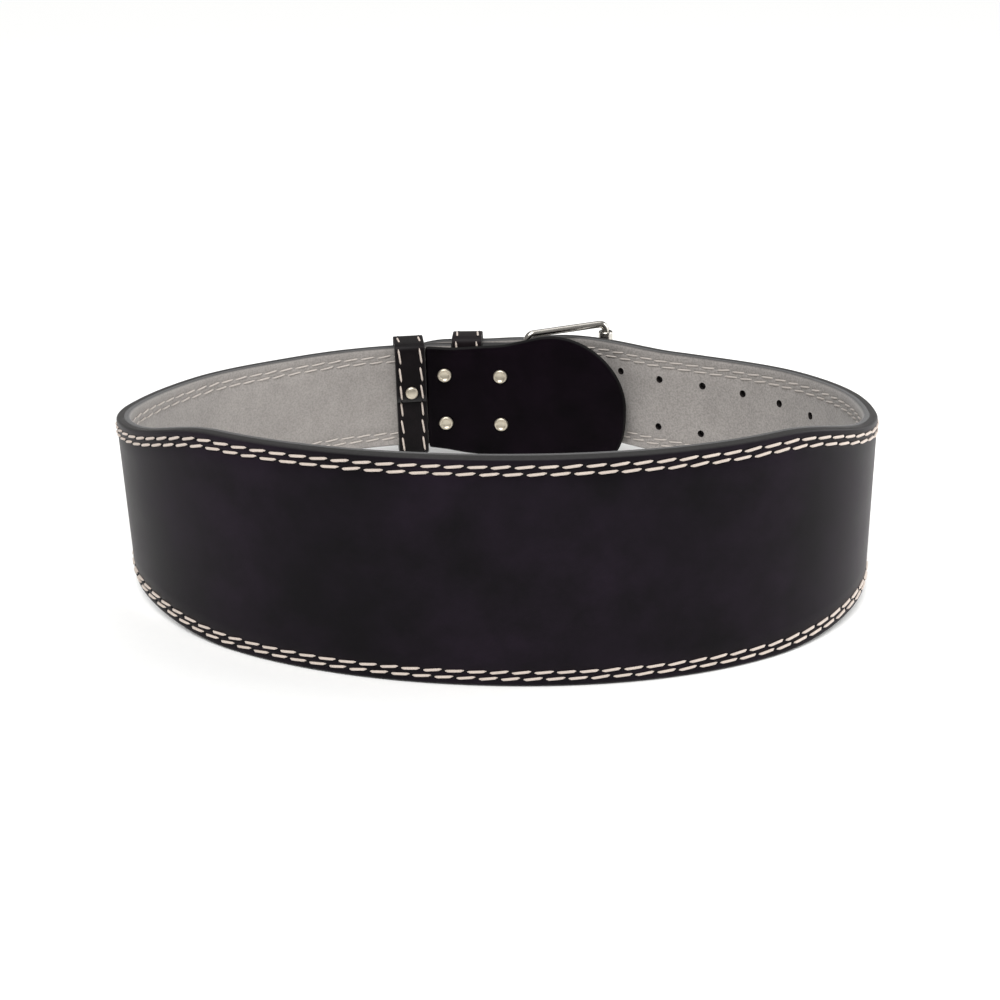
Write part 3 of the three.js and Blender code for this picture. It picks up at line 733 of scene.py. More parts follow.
def stitch_tree():
    """Stitches along edges: tapered, arched threads, each a little askew, and at each needle hole a flat drop
    whose dark material on leather is painted shade of the hole.
    """
    tree, given, result = new_tree("Stitching", {
        "Stitch length": "Float", "Pitch": "Float", "Thread": "Float", "Seed": "Int",
        "Thread material": "Material", "Needle material": "Material",
    })
    seams = add(tree, "GeometryNodeMeshToCurve", {"Mesh": given["Geometry"]})
    points = add(tree, "GeometryNodeCurveToPoints", {"Curve": seams, "Length": given["Pitch"]}, mode="LENGTH")
    outward = add(tree, "GeometryNodeInputNamedAttribute", {"Name": "outward"}, data_type="FLOAT_VECTOR")
    turn = add(tree, "FunctionNodeAxesToRotation", {
        "Primary Axis": points.outputs["Tangent"], "Secondary Axis": outward.outputs["Attribute"],
    }, primary_axis="X", secondary_axis="Z")
    skew = add(tree, "FunctionNodeRandomValue", {
        0: (-0.02, -0.02, 0.05), 1: (0.02, 0.02, 0.14), "Seed": given["Seed"]}, data_type="FLOAT_VECTOR")
    askew = add(tree, "FunctionNodeRotateRotation", {
        "Rotation": turn, "Rotate By": skew}, rotation_space="LOCAL")
    back, ahead = (
        add(tree, "ShaderNodeCombineXYZ", {
            "X": add(tree, "ShaderNodeMath", {0: given["Stitch length"], 1: share}, operation="MULTIPLY")})
        for share in (-0.5, 0.5)
    )
    line = add(tree, "GeometryNodeCurvePrimitiveLine", {"Start": back, "End": ahead})
    fine = add(tree, "GeometryNodeResampleCurve", {"Curve": line, "Count": 7})
    share = add(tree, "GeometryNodeSplineParameter").outputs["Factor"]
    # The thread is full along most of its length and dips at both ends
    centred = add(tree, "ShaderNodeMath", {0: share, 1: 2.0, 2: -1.0}, operation="MULTIPLY_ADD")
    power = add(tree, "ShaderNodeMath", {0: centred, 1: 8.0}, operation="POWER")
    swell = add(tree, "ShaderNodeMath", {0: 1.0, 1: power}, operation="SUBTRACT")
    width = add(tree, "ShaderNodeMath", {0: swell, 1: 0.6, 2: 0.4}, operation="MULTIPLY_ADD")
    radius = add(tree, "ShaderNodeMath", {0: width, 1: given["Thread"]}, operation="MULTIPLY")
    arch = add(tree, "ShaderNodeMath", {0: swell, 1: 0.5, 2: -0.32}, operation="MULTIPLY_ADD")
    rise = add(tree, "ShaderNodeMath", {0: arch, 1: given["Thread"]}, operation="MULTIPLY")
    lifted = add(tree, "ShaderNodeCombineXYZ", {"Z": rise})
    arched = add(tree, "GeometryNodeSetPosition", {"Geometry": fine, "Offset": lifted})
    run = add(tree, "GeometryNodeStoreNamedAttribute", {
        "Name": "strand", "Geometry": arched, "Value": share}, data_type="FLOAT", domain="POINT")
    section = add(tree, "GeometryNodeCurvePrimitiveCircle", {"Resolution": 6, "Radius": 0.5})
    thread = add(tree, "GeometryNodeCurveToMesh", {
        "Curve": run, "Profile Curve": section, "Scale": radius, "Fill Caps": True})
    # A flat drop lies at each needle hole, half a pitch on from each stitch; in a dark material it is painted
    # shade of the hole
    drop = add(tree, "GeometryNodeMeshUVSphere", {"Segments": 8, "Rings": 4, "Radius": 0.5})
    shift = add(tree, "ShaderNodeMath", {0: given["Pitch"], 1: 0.5}, operation="MULTIPLY")
    aside = add(tree, "ShaderNodeCombineXYZ", {"X": shift})
    flat = add(tree, "ShaderNodeVectorMath", {
        0: (1.9, 0.85, 0.26), "Scale": given["Thread"]}, operation="SCALE")
    needle = add(tree, "GeometryNodeTransform", {
        "Geometry": drop.outputs["Mesh"], "Translation": aside, "Rotation": (0.0, 0.0, 0.75), "Scale": flat})
    both = add(tree, "GeometryNodeJoinGeometry")
    for shape, rotation, material in ((needle, turn, "Needle material"), (thread, askew, "Thread material")):
        copies = add(tree, "GeometryNodeInstanceOnPoints", {
            "Points": points, "Instance": shape, "Rotation": rotation})
        real = add(tree, "GeometryNodeRealizeInstances", {"Geometry": copies})
        fill(tree, both, {
            0: add(tree, "GeometryNodeSetMaterial", {"Geometry": real, "Material": given[material]})})
    fill(tree, result, {0: add(tree, "GeometryNodeSetShadeSmooth", {"Geometry": both})})
    return tree


def copies_tree(name):
    """Copies of a shape on points, each along its point's outward direction."""
    tree, given, result = new_tree(name, {"Shape": "Object", "Material": "Material"})
    shape = add(tree, "GeometryNodeObjectInfo", {"Object": given["Shape"]})
    outward = add(tree, "GeometryNodeInputNamedAttribute", {"Name": "outward"}, data_type="FLOAT_VECTOR")
    turn = add(tree, "FunctionNodeAlignRotationToVector", {"Vector": outward.outputs["Attribute"]}, axis="Z")
    copies = add(tree, "GeometryNodeInstanceOnPoints", {
        "Points": given["Geometry"], "Instance": shape.outputs["Geometry"], "Rotation": turn})
    real = add(tree, "GeometryNodeRealizeInstances", {"Geometry": copies})
    fill(tree, result, {0: add(tree, "GeometryNodeSetMaterial", {
        "Geometry": real, "Material": given["Material"]})})
    return tree


def copies_at(name, shape, places, material):
    """Copies of a shape at (point, outward direction) places, as one plain mesh."""
    made = run_tree(name, copies_tree(name), places, [], {"Shape": shape, "Material": material})
    bpy.data.objects.remove(shape)
    made.data.shade_smooth()
    made.data.set_sharp_from_angle(angle=math.radians(45))
    return made


def stitched(name, rows, stitch, pitch, thickness, thread, prick):
    """Stitching along rows of (point, outward) pairs, with a drop at each needle hole between the stitches in
    the prick material: painted shade of the hole on leather, plain suede on the lining.
    """
    points, edges = [], []
    for row in rows:
        edges += [(len(points) + i, len(points) + i + 1) for i in range(len(row) - 1)]
        points += row
    tree = bpy.data.node_groups.get("Stitching") or stitch_tree()
    belongs(run_tree(name, tree, points, edges, {
        "Stitch length": pitch * stitch.length / stitch.pitch, "Pitch": pitch,
        "Thread": thickness, "Seed": stitch.seed, "Thread material": thread, "Needle material": prick,
    }), None, None)


# Finishes

def new_material(name):
    """A material with its tree, its shader and the piece's own coordinates."""
    material = bpy.data.materials.new(name)
    material.use_nodes = True
    tree = material.node_tree
    where = add(tree, "ShaderNodeTexCoord").outputs["Object"]
    return material, tree, tree.nodes["Principled BSDF"], where


def rgba(value, scale=1.0):
    return (*[min(part * scale, 1.0) for part in value], 1.0)


def leather_finish(name, base, edge, pore, roughness, gloss=0.1, sheen=0.045):
    """Full-grain leather, dyed and waxed: a soft wide sheen, fine pores, faint clouding and burnished
    edges that are greyer than the face."""
    material, tree, shader, where = new_material(name)
    cloud = add(tree, "ShaderNodeTexNoise", {
        "Scale": 1 / (22 * MM), "Detail": 5.0, "Roughness": 0.6, "Vector": where})
    grain = add(tree, "ShaderNodeTexVoronoi", {
        "Scale": 1 / pore, "Vector": where}, feature="DISTANCE_TO_EDGE")
    creases = add(tree, "ShaderNodeTexNoise", {"Scale": 1 / (1.6 * MM), "Detail": 4.0, "Vector": where})
    wide = add(tree, "ShaderNodeTexNoise", {"Scale": 1 / (70 * MM), "Detail": 2.0, "Vector": where})
    worn = add(tree, "ShaderNodeMath", {0: cloud, 1: wide}, operation="MULTIPLY")
    spread = add(tree, "ShaderNodeMapRange", {0: worn, 1: 0.15, 2: 0.4})
    face = add(tree, "ShaderNodeMix", {0: spread, 6: rgba(base, 0.35), 7: rgba(base, 1.5)}, data_type="RGBA")
    paint = add(tree, "ShaderNodeAttribute", attribute_name="edge").outputs["Fac"]
    edge_tone = add(tree, "ShaderNodeMix", {
        0: creases, 6: rgba(edge, 0.75), 7: rgba(edge, 1.3)}, data_type="RGBA")
    pores = add(tree, "ShaderNodeMapRange", {0: grain, 1: 0.0, 2: 0.12, 3: 0.0, 4: 1.0})
    height = add(tree, "ShaderNodeMix", {0: 0.45, 2: pores, 3: creases}, data_type="FLOAT")
    fill(tree, shader, {
        "Base Color": add(tree, "ShaderNodeMix", {0: paint, 6: face, 7: edge_tone}, data_type="RGBA"),
        "Roughness": add(tree, "ShaderNodeMapRange", {0: cloud, 3: roughness - 0.06, 4: roughness + 0.08}),
        "Normal": add(tree, "ShaderNodeBump", {"Strength": 0.35, "Distance": 0.05 * MM, "Height": height}),
        "IOR": 1.48, "Specular IOR Level": gloss, "Sheen Weight": sheen, "Sheen Roughness": 0.35,
        "Sheen Tint": rgba(linear("#d8cdc2")),
    })
    return material


def suede_finish(name, base, edge):
    """Split leather with a raised nap: no gloss, a soft sheen, mottled where the nap is brushed over."""
    material, tree, shader, where = new_material(name)
    brushed = add(tree, "ShaderNodeTexNoise", {
        "Scale": 1 / (14 * MM), "Detail": 6.0, "Roughness": 0.65, "Vector": where})
    nap = add(tree, "ShaderNodeTexNoise", {
        "Scale": 1 / (1.0 * MM), "Detail": 3.0, "Roughness": 0.6, "Vector": where})
    wide = add(tree, "ShaderNodeMapRange", {0: brushed, 1: 0.3, 2: 0.7})
    fine = add(tree, "ShaderNodeMapRange", {0: nap, 1: 0.36, 2: 0.6})
    # The nap stands up more towards the buckle's side of the belt, and lies flatter on the other
    side = add(tree, "ShaderNodeSeparateXYZ", {"Vector": where}).outputs["X"]
    coarse = add(tree, "ShaderNodeMapRange", {0: side, 1: -0.12, 2: 0.08, 3: 0.26, 4: 0.36})
    tone = add(tree, "ShaderNodeMix", {0: wide, 6: rgba(base, 0.86), 7: rgba(base, 1.1)}, data_type="RGBA")
    speck = add(tree, "ShaderNodeMix", {0: fine, 6: rgba(base, 0.34), 7: rgba(base, 1.2)}, data_type="RGBA")
    face = add(tree, "ShaderNodeMix", {0: coarse, 6: tone, 7: speck}, data_type="RGBA")
    paint = add(tree, "ShaderNodeAttribute", attribute_name="edge").outputs["Fac"]
    fill(tree, shader, {
        "Base Color": add(tree, "ShaderNodeMix", {0: paint, 6: face, 7: rgba(edge)}, data_type="RGBA"),
        "Normal": add(tree, "ShaderNodeBump", {"Strength": 0.8, "Distance": 0.25 * MM, "Height": nap}),
        "Roughness": 0.95, "Sheen Weight": 0.25, "Sheen Roughness": 0.6, "Specular IOR Level": 0.25,
    })
    return material


def metal_finish(name, base, roughness, wear):
    """Nickel plate: neutral and bright, with faint clouding and fine rub marks."""
    material, tree, shader, where = new_material(name)
    cloud = add(tree, "ShaderNodeTexNoise", {"Scale": 1 / (3 * MM), "Detail": 6.0, "Vector": where})
    stretch = add(tree, "ShaderNodeMapping", {"Scale": (1.0, 1.0, 7.0), "Vector": where})
    marks = add(tree, "ShaderNodeTexNoise", {"Scale": 1 / (1.2 * MM), "Detail": 3.0, "Vector": stretch})
    fill(tree, shader, {
        "Base Color": add(tree, "ShaderNodeMix", {
            0: cloud, 6: rgba(base, 0.8), 7: rgba(base, 1.1)}, data_type="RGBA"),
        "Roughness": add(tree, "ShaderNodeMapRange", {
            0: marks, 1: 0.3, 2: 0.7, 3: roughness - wear, 4: roughness + wear}),
        "Normal": add(tree, "ShaderNodeBump", {"Strength": 0.15, "Distance": 0.03 * MM, "Height": marks}),
        "Metallic": 1.0,
    })
    return material


def thread_finish(name, base):
    """Waxed cotton thread: pale, slightly glossy, with the twist of its strands."""
    material, tree, shader, where = new_material(name)
    dirt = add(tree, "ShaderNodeTexNoise", {"Scale": 1 / (6 * MM), "Detail": 4.0, "Vector": where})
    run = add(tree, "ShaderNodeAttribute", attribute_name="strand").outputs["Fac"]
    # Nine and a half turns of the strands on each stitch
    turns = add(tree, "ShaderNodeMath", {0: run, 1: 2 * math.pi * 9.5}, operation="MULTIPLY")
    wave = add(tree, "ShaderNodeMath", {0: turns}, operation="SINE")
    fill(tree, shader, {
        "Base Color": add(tree, "ShaderNodeMix", {
            0: dirt, 6: rgba(base, 0.82), 7: rgba(base, 1.08)}, data_type="RGBA"),
        "Normal": add(tree, "ShaderNodeBump", {"Strength": 0.5, "Distance": 0.1 * MM, "Height": wave}),
        "Roughness": 0.6, "Sheen Weight": 0.15,
    })
    return material


def matt_finish(name, dark, pale, fibre, detail, roughness, gloss):
    """A dull, fibrous surface between two colours, such as cut leather, paper or the painted shade in needle
    holes.
    """
    material, tree, shader, where = new_material(name)
    fibres = add(tree, "ShaderNodeTexNoise", {"Scale": 1 / fibre, "Detail": detail, "Vector": where})
    fill(tree, shader, {
        "Base Color": add(tree, "ShaderNodeMix", {0: fibres, 6: dark, 7: pale}, data_type="RGBA"),
        "Roughness": roughness, "Specular IOR Level": gloss,
    })
    return material


def finish(make, name, *details):
    """A finish is made once and then shared."""
    return bpy.data.materials.get(name) or make(name, *details)


def colours():
    return bpy.context.scene.belt_colours


def grain_leather():
    return finish(leather_finish, "full_grain_leather", colours().leather, colours().paint, 0.8 * MM, 0.42)


def keeper_leather():
    return finish(leather_finish, "keeper_strap_leather", colours().keeper, colours().paint, 0.6 * MM, 0.44)


def shield_leather():
    edge = rgba(colours().paint, 0.3)[:3]
    return finish(leather_finish, "smooth_bridle_leather", colours().shield, edge, 0.6 * MM, 0.46, 0.05, 0.0)


def suede():
    return finish(suede_finish, "split_suede", colours().suede, rgba(colours().paint, 0.9)[:3])


def nickel():
    return finish(metal_finish, "nickel_plate", colours().nickel, 0.42, 0.08)


def steel():
    return finish(metal_finish, "polished_plated_steel", colours().steel, 0.2, 0.05)


# Raw cut leather for the walls of punched holes, and dark painted shade for the drops at needle holes
def cut_leather_or_hole_shade(name, dark, pale):
    return finish(matt_finish, name, rgba(linear(dark)), rgba(linear(pale)), 0.6 * MM, 3.0, 0.9, 0.2)


# The dark drops at the needle holes are painted shade of the holes, not a colour of the leather
def needle_prick_shade():
    return cut_leather_or_hole_shade("needle_hole_leather", "#060506", "#151215")


def hole_wall():
    return cut_leather_or_hole_shade("punched_leather", "#0c0a0b", "#2a2523")


# Pieces

class BeltPieces:
    """What the operators that make pieces share."""

    def execute(self, context):
        self.make(Layout(context.scene))
        return {"FINISHED"}


class BELT_OT_outer_leather(BeltPieces, bpy.types.Operator):
    """Outer leather: from the tongue's tip round the back to the fold at the hinge bar"""

    bl_idname = "belt.outer_leather"
    bl_label = "Outer Leather"

    def make(self, layout):
        band, stitch = layout.band, layout.stitch
        seams = (stitch.first, stitch.second)
        half = section_rows(band.leather, band.edge, 0.0, seams, stitch.groove, FACE_ROWS)
        stations = band_stations(layout, layout.leather_inner, layout.face, layout.fold_end)
        piece = plate("outer_leather_fine", stations + fold_stations(layout), half, 3)
        move(piece, layout.stand)
        # Holes that no prong has stretched are a little tighter in the firm outer leather
        cut(piece, band_cutters(layout, 0.4 * band.hole) + slot_cutters(layout) + rivet_cutters(layout))
        cut(piece, passage_cutters(layout))
        belongs(piece, grain_leather(), "black_leather", "outer_leather")


def move(piece, offset):
    piece.data.transform(Matrix.Translation(offset))


def band_stations(layout, back, front, end):
    band = layout.band
    start = band.overlap - band.tip
    tip = [start + band.tip * cosine for cosine, _ in quarter(TIP_STEPS)[:-1]]
    places = tip + even(start, end - layout.length, RUN_STEP)
    return run_stations(layout, layout.tongue_lane, places, layout.tongue_edges, back, front, 1)


def fold_stations(layout):
    """The outer leather rises round the hinge bar and comes back inside, in the lining's lane."""
    band, fold = layout.band, layout.buckle.fold

    def run(lane, places, *faces):
        return [[layout.lane_point(lane, place, face) for face in faces] for place in places]

    # The slope is sampled more closely than the straight runs
    before = even(layout.fold_end - RUN_STEP, fold, RUN_STEP)
    faces = run(layout.flat_lane, before, layout.leather_inner, layout.face)
    faces += run(layout.fold_lane, even(fold * 0.94, 0.0, 0.8 * MM), layout.leather_inner, layout.face)
    for i in range(1, FOLD_STEPS + 1):
        angle = math.pi / 2 - i / FOLD_STEPS * math.pi
        ray = Vector((math.cos(angle), math.sin(angle)))
        outer = layout.bar_clear + mix(band.leather, band.lining, i / FOLD_STEPS)
        faces.append([layout.hinge + ray * reach for reach in (layout.bar_clear, outer)])
    faces += run(layout.flat_lane, even(2 * MM, layout.fold_end, RUN_STEP), layout.lining_outer, -layout.face)
    low, high = layout.band_edges(0)
    return [(inner, outer, Vector((1, 0)), low, high, 0.0, 0.0) for inner, outer in faces]


def band_cutters(layout, radius):
    reach = layout.face + layout.band.gap / 2
    return [
        bar(*(layout.at(layout.tongue_lane, place, outward, z) for outward in (-reach, reach)), radius)
        for place, z in layout.holes()
    ]


def passage_cutters(layout):
    """The prongs' slanted ways through the tongue, cut after the holes, which they overlap."""
    buckle = layout.buckle
    radius = (math.hypot(buckle.prong_thickness, buckle.prong_width) + buckle.prong_room) / 2
    runs = (layout.fold_outer + layout.band.leather, buckle.frame - buckle.roller / 2)
    return [bar(*(layout.frame_point(run, 0, z) for run in runs), radius) for z in layout.prong_heights()]


def slot_cutters(layout):
    buckle = layout.buckle
    left = layout.bar_clear + buckle.eye + buckle.slot_room
    right = layout.fold_outer
    depth = layout.fold_outer + 2 * layout.face
    top = layout.hinge.y - layout.bar_out + layout.fold_outer + layout.band.gap / 2
    size = Vector((left + right, depth, buckle.prong_width + 2 * buckle.slot_room))
    return [
        block(Vector((layout.hinge.x + (right - left) / 2, top - depth / 2, z)) + layout.stand, size)
        for z in layout.prong_heights()
    ]


def rivet_cutters(layout):
    inside = layout.face + layout.band.gap + layout.shield.thickness + layout.shield.head_height
    ends = (-inside, layout.face + RIVET_ROOM)
    radius = layout.shield.shank / 2 + RIVET_ROOM
    return [
        bar(*(layout.at(layout.flat_lane, place, outward, z) for outward in ends), radius)
        for place, z in layout.rivet_places()
    ]


class BELT_OT_suede_lining(BeltPieces, bpy.types.Operator):
    """Suede lining: it closes the gap to the outer leather, so that the edge reads as one"""

    bl_idname = "belt.suede_lining"
    bl_label = "Suede Lining"

    def make(self, layout):
        band, stitch = layout.band, layout.stitch
        thickness = band.lining + band.gap - 0.04 * MM
        seams = (stitch.first + LINING_INSET, stitch.second + LINING_INSET)
        half = section_rows(thickness, SOFT_EDGE, 0.0, seams, stitch.groove, FACE_ROWS, painted=1)
        stations = band_stations(layout, -layout.face + thickness, -layout.face, layout.lining_end)
        piece = plate("suede_lining_fine", stations, half, 3)
        move(piece, layout.stand)
        cut(piece, band_cutters(layout, 0.48 * band.hole) + rivet_cutters(layout))
        cut(piece, passage_cutters(layout))
        belongs(piece, suede(), "grey_suede", "suede_lining")


class BELT_OT_buckle_shield(BeltPieces, bpy.types.Operator):
    """Shield behind the buckle, a neck that flares into a rounded paddle"""

    bl_idname = "belt.buckle_shield"
    bl_label = "Buckle Shield"

    def make(self, layout):
        shield = layout.shield
        half = section_rows(shield.thickness, SOFT_EDGE, SOFT_EDGE, (), 0.0, ())
        outer = -layout.face - layout.band.gap
        inner = outer - shield.thickness
        places = even(layout.shield_end, -shield.centre, 2 * MM)
        places += [-shield.centre - shield.radius * sine for _, sine in quarter(PADDLE_STEPS)[1:]]
        stations = run_stations(layout, layout.flat_lane, places, layout.shield_edges, outer, inner, -1)
        piece = plate("buckle_shield_fine", rounded_start(stations, SOFT_EDGE), half, 25)
        move(piece, layout.stand)
        # The rivets pull the leather in round their heads
        spread, deepest = 6.5 * MM, 0.3 * MM
        for place, z in layout.rivet_places():
            centre = layout.at(layout.flat_lane, place, inner, z)
            outward = upright(layout.lane_normal(layout.flat_lane, place))
            for vertex in piece.data.vertices:
                near = (vertex.co - centre).length / spread
                if near < 2.5:
                    vertex.co += outward * (deepest * math.exp(-near * near))
        cut(piece, rivet_cutters(layout))
        belongs(piece, shield_leather(), "dark_leather", "buckle_shield")


def rounded_start(stations, radius):
    """Rounds the straight cut end at the first station, in plan and in its corners."""
    back, front, along, low, high, *_ = stations[0]
    # Just short of the middle, so that the two faces stay apart
    thinnest = 0.48
    ends = []
    for cosine, sine in quarter(5)[:-1]:
        thin = min(radius * (1 - sine) / (front - back).length, thinnest)
        inward = along * radius * (1 - cosine)
        corner = 2 * radius * (1 - sine)
        ends.append((
            back.lerp(front, thin) + inward, front.lerp(back, thin) + inward, along,
            low + corner, high - corner, 0.0, 0.0,
        ))
    return ends + stations[1:]


class BELT_OT_keepers(BeltPieces, bpy.types.Operator):
    """Fixed keeper behind the hinge, and the riveted keeper whose upper end laps over its lower end"""

    bl_idname = "belt.keepers"
    bl_label = "Keepers"

    def make(self, layout):
        keeper = layout.keeper
        fixed, riveted = (strap(layout, *details) for details in keeper_paths(layout))
        belongs(fixed, keeper_leather(), "black_leather", "keeper_fixed")
        left = -layout.face - layout.band.gap - keeper.room - keeper.thickness / 2
        reach = 3 * keeper.thickness + layout.band.gap
        ends = (left - reach, left + keeper.thickness)
        cut(riveted, [bar(*(
            layout.at(layout.flat_lane, keeper.riveted_at, end, layout.keeper_rivet) for end in ends
        ), layout.shield.shank / 2 + RIVET_ROOM)])
        belongs(riveted, keeper_leather(), "black_leather", "keeper_riveted")


def keeper_paths(layout):
    """Name, place, width and middle line of each keeper. The line is given by its corners as (outwards,
    height) points, and is closed on the fixed keeper. The riveted keeper's upper end laps over its
    lower end inside."""
    keeper, band = layout.keeper, layout.band
    grow = keeper.thickness / 2
    right = layout.keeper_outer + grow
    low, high = layout.band_edges(keeper.fixed_at)
    left = layout.lining_outer - (band.lining - keeper.thickness) / 2 - grow
    bottom, top = low - keeper.room - grow, high + keeper.room + keeper.fixed_rise + grow
    fixed = [(left, bottom), (right, bottom), (right, top), (left, top)]
    low, high = layout.band_edges(keeper.riveted_at)
    left = -layout.face - band.gap - keeper.room - grow
    bottom, top = low - keeper.room - keeper.riveted_drop - grow, high + keeper.room + grow
    upper = left - keeper.thickness - band.gap
    riveted = [
        (left, layout.keeper_rivet + keeper.lap_top), (left, bottom), (right, bottom), (right, top),
        (upper, top), (upper, layout.keeper_rivet - keeper.lap_under),
    ]
    return (
        ("keeper_fixed_fine", keeper.fixed_at, keeper.fixed_width, fixed, True),
        ("keeper_riveted_fine", keeper.riveted_at, keeper.riveted_width, riveted, False),
    )


def rounded_path(corners, radius, closed):
    """A path with rounded corners, in steps of a few millimetres."""
    count = len(corners)
    path = []
    for i, corner in enumerate(corners):
        here = Vector(corner)
        if not closed and i in (0, count - 1):
            path.append(here)
            continue
        before, after = Vector(corners[i - 1]), Vector(corners[(i + 1) % count])
        start, end = (before - here).normalized(), (after - here).normalized()
        for cosine, sine in quarter(6):
            path.append(here + start * radius * (1 - sine) + end * radius * (1 - cosine))
    fine = []
    for a, b in zip(path, path[1:] + path[:1] if closed else path[1:]):
        count = max(int((b - a).length / (4 * MM)), 1)
        fine += [a.lerp(b, i / count) for i in range(count)]
    return fine if closed else fine + [path[-1]]


def keeper_frame(layout, place):
    """Where a keeper stands: its origin in plan, outwards and along the band."""
    position = layout.front_position(place)
    outward = upright(layout.plan_normal(position))
    return upright(layout.plan_point(position)) + layout.stand, outward, outward.cross(Vector((0, 0, 1)))


def strap(layout, name, place, width, corners, closed):
    """A strap of rounded section bent along a path of (outwards, height) points."""
    origin, outward, along = keeper_frame(layout, place)
    thick, radius = layout.keeper.thickness / 2, 0.75 * MM
    path = rounded_path(corners, layout.keeper.corner + thick, closed)
    ring, paint = [], []
    for side_x, side_y in ((1, 1), (-1, 1), (-1, -1), (1, -1)):
        for turned in quarter(4):
            c, s = turned if side_x * side_y > 0 else turned[::-1]
            ring.append((side_x * (width / 2 - radius + radius * c), side_y * (thick - radius + radius * s)))
            paint.append(smooth((c - 0.25) / 0.5))
    sections, values = [], []

    def put(here, tangent, inset, paints):
        normal = Vector((tangent.y, -tangent.x))
        section = []
        for across, depth in ring:
            flat = here + normal * (depth - math.copysign(min(inset, abs(depth)), depth))
            across -= math.copysign(min(inset, abs(across)), across)
            section.append(origin + outward * flat.x + Vector((0, 0, flat.y)) + along * across)
        sections.append(section)
        values.extend(paints)

    for i, here in enumerate(path):
        before = path[i - 1] if i or closed else here
        after = path[(i + 1) % len(path)] if closed or i + 1 < len(path) else here
        tangent = (after - before).normalized()
        if closed or 0 < i < len(path) - 1:
            put(here, tangent, 0.0, paint)
            continue
        inward = -1 if i else 1
        for inset, depth in corner_arc(radius)[::inward]:
            put(here + tangent * (inward * inset), tangent, depth, [1.0] * len(ring))
    return loft(name, sections, closed, 35.0, values)


class BELT_OT_buckle(BeltPieces, bpy.types.Operator):
    """Buckle: wire frame, roller and two prongs"""

    bl_idname = "belt.buckle"
    bl_label = "Buckle"

    def make(self, layout):
        belongs(wire_frame(layout), steel(), "buckle_steel", "buckle_frame")
        belongs(roller(layout), steel(), "buckle_steel", "buckle_roller")
        for name, z in zip(("prong_upper", "prong_lower"), layout.prong_heights()):
            belongs(prong(layout, name + "_fine", z), steel(), "buckle_steel", name)


def wire_frame(layout):
    buckle = layout.buckle
    corner = buckle.corner
    at_hinge = layout.frame_half - corner
    at_roller = at_hinge + buckle.flare
    sections = []
    for quadrant, (along, height) in enumerate((
        (buckle.frame - corner, at_roller), (corner, at_hinge),
        (corner, -at_hinge), (buckle.frame - corner, -at_roller),
    )):
        for i in range(BEND_STEPS + 1):
            angle = (quadrant + i / BEND_STEPS) * math.pi / 2
            ring = []
            for cosine, sine in full_turn(WIRE_SIDES):
                reach = corner + layout.wire * cosine
                ring.append(layout.frame_point(
                    along + reach * math.cos(angle), layout.wire * sine,
                    layout.front_middle + height + reach * math.sin(angle)))
            sections.append(ring)
    return loft("buckle_frame_fine", sections, closed=True)


def roller(layout):
    """A tube with rounded ends on the frame's far bar."""
    buckle, gap = layout.buckle, layout.band.gap
    half = layout.frame_half + buckle.flare - buckle.corner - gap
    bore, outer = layout.wire + gap, buckle.roller / 2
    rounding = 0.9 * MM
    lower = [
        (outer - rounding * (1 - sine), -half + rounding * (1 - cosine)) for cosine, sine in quarter(5)
    ]
    upper = [(radius, -height) for radius, height in reversed(lower)]
    centre = layout.frame_point(buckle.frame, 0, layout.front_middle)
    return mesh_object("buckle_roller_fine", *lathe(
        [(bore, -half)] + lower + upper + [(bore, half)], centre, ROLLER_SIDES, bored=True))


def prong(layout, name, z):
    """An eye round the hinge bar and an arm that steps out over the roller."""
    buckle = layout.buckle
    tip_out = buckle.roller / 2 + layout.band.gap + buckle.prong_thickness / 2
    crank_end = buckle.frame - 1 * MM
    crank_start = crank_end - PRONG_CRANK
    tip = buckle.frame + buckle.overhang
    start = layout.bar_clear + buckle.eye / 2
    sections = []
    for i in range(PRONG_STEPS + 1):
        along = mix(start, tip, i / PRONG_STEPS)
        middle = tip_out * smooth((along - crank_start) / (crank_end - crank_start))
        # The arm thins past the crank and ends blunt
        end = 1 - 0.35 * smooth((along - crank_end) / (tip - crank_end))
        blunt = math.sqrt(max(1 - max((along - tip + 1.2 * MM) / (1.3 * MM), 0) ** 2, 0.05))
        thick, wide = buckle.prong_thickness / 2 * end * blunt, buckle.prong_width / 2 * blunt
        sections.append([
            layout.frame_point(along, middle + thick * squared(sine), z + wide * squared(cosine))
            for cosine, sine in full_turn(PRONG_SIDES)
        ])
    arm = loft(name, sections)
    outer, bore = layout.bar_clear + buckle.eye, layout.bar_clear
    width, rounding = buckle.prong_width / 2, 0.4 * MM
    lower = [(bore, -width), (outer - rounding, -width), (outer, -width + rounding)]
    upper = [(radius, -height) for radius, height in reversed(lower)]
    hinge = layout.frame_point(0, 0, z)
    eye = mesh_object(name + "_eye", *lathe(lower + upper, hinge, RIVET_SIDES, bored=True))
    combine(arm, eye, "UNION", 40)
    return arm


def squared(share):
    """Pushes a circle's sine or cosine outwards, for a section between a circle and a square."""
    return math.copysign(abs(share) ** 0.62, share)


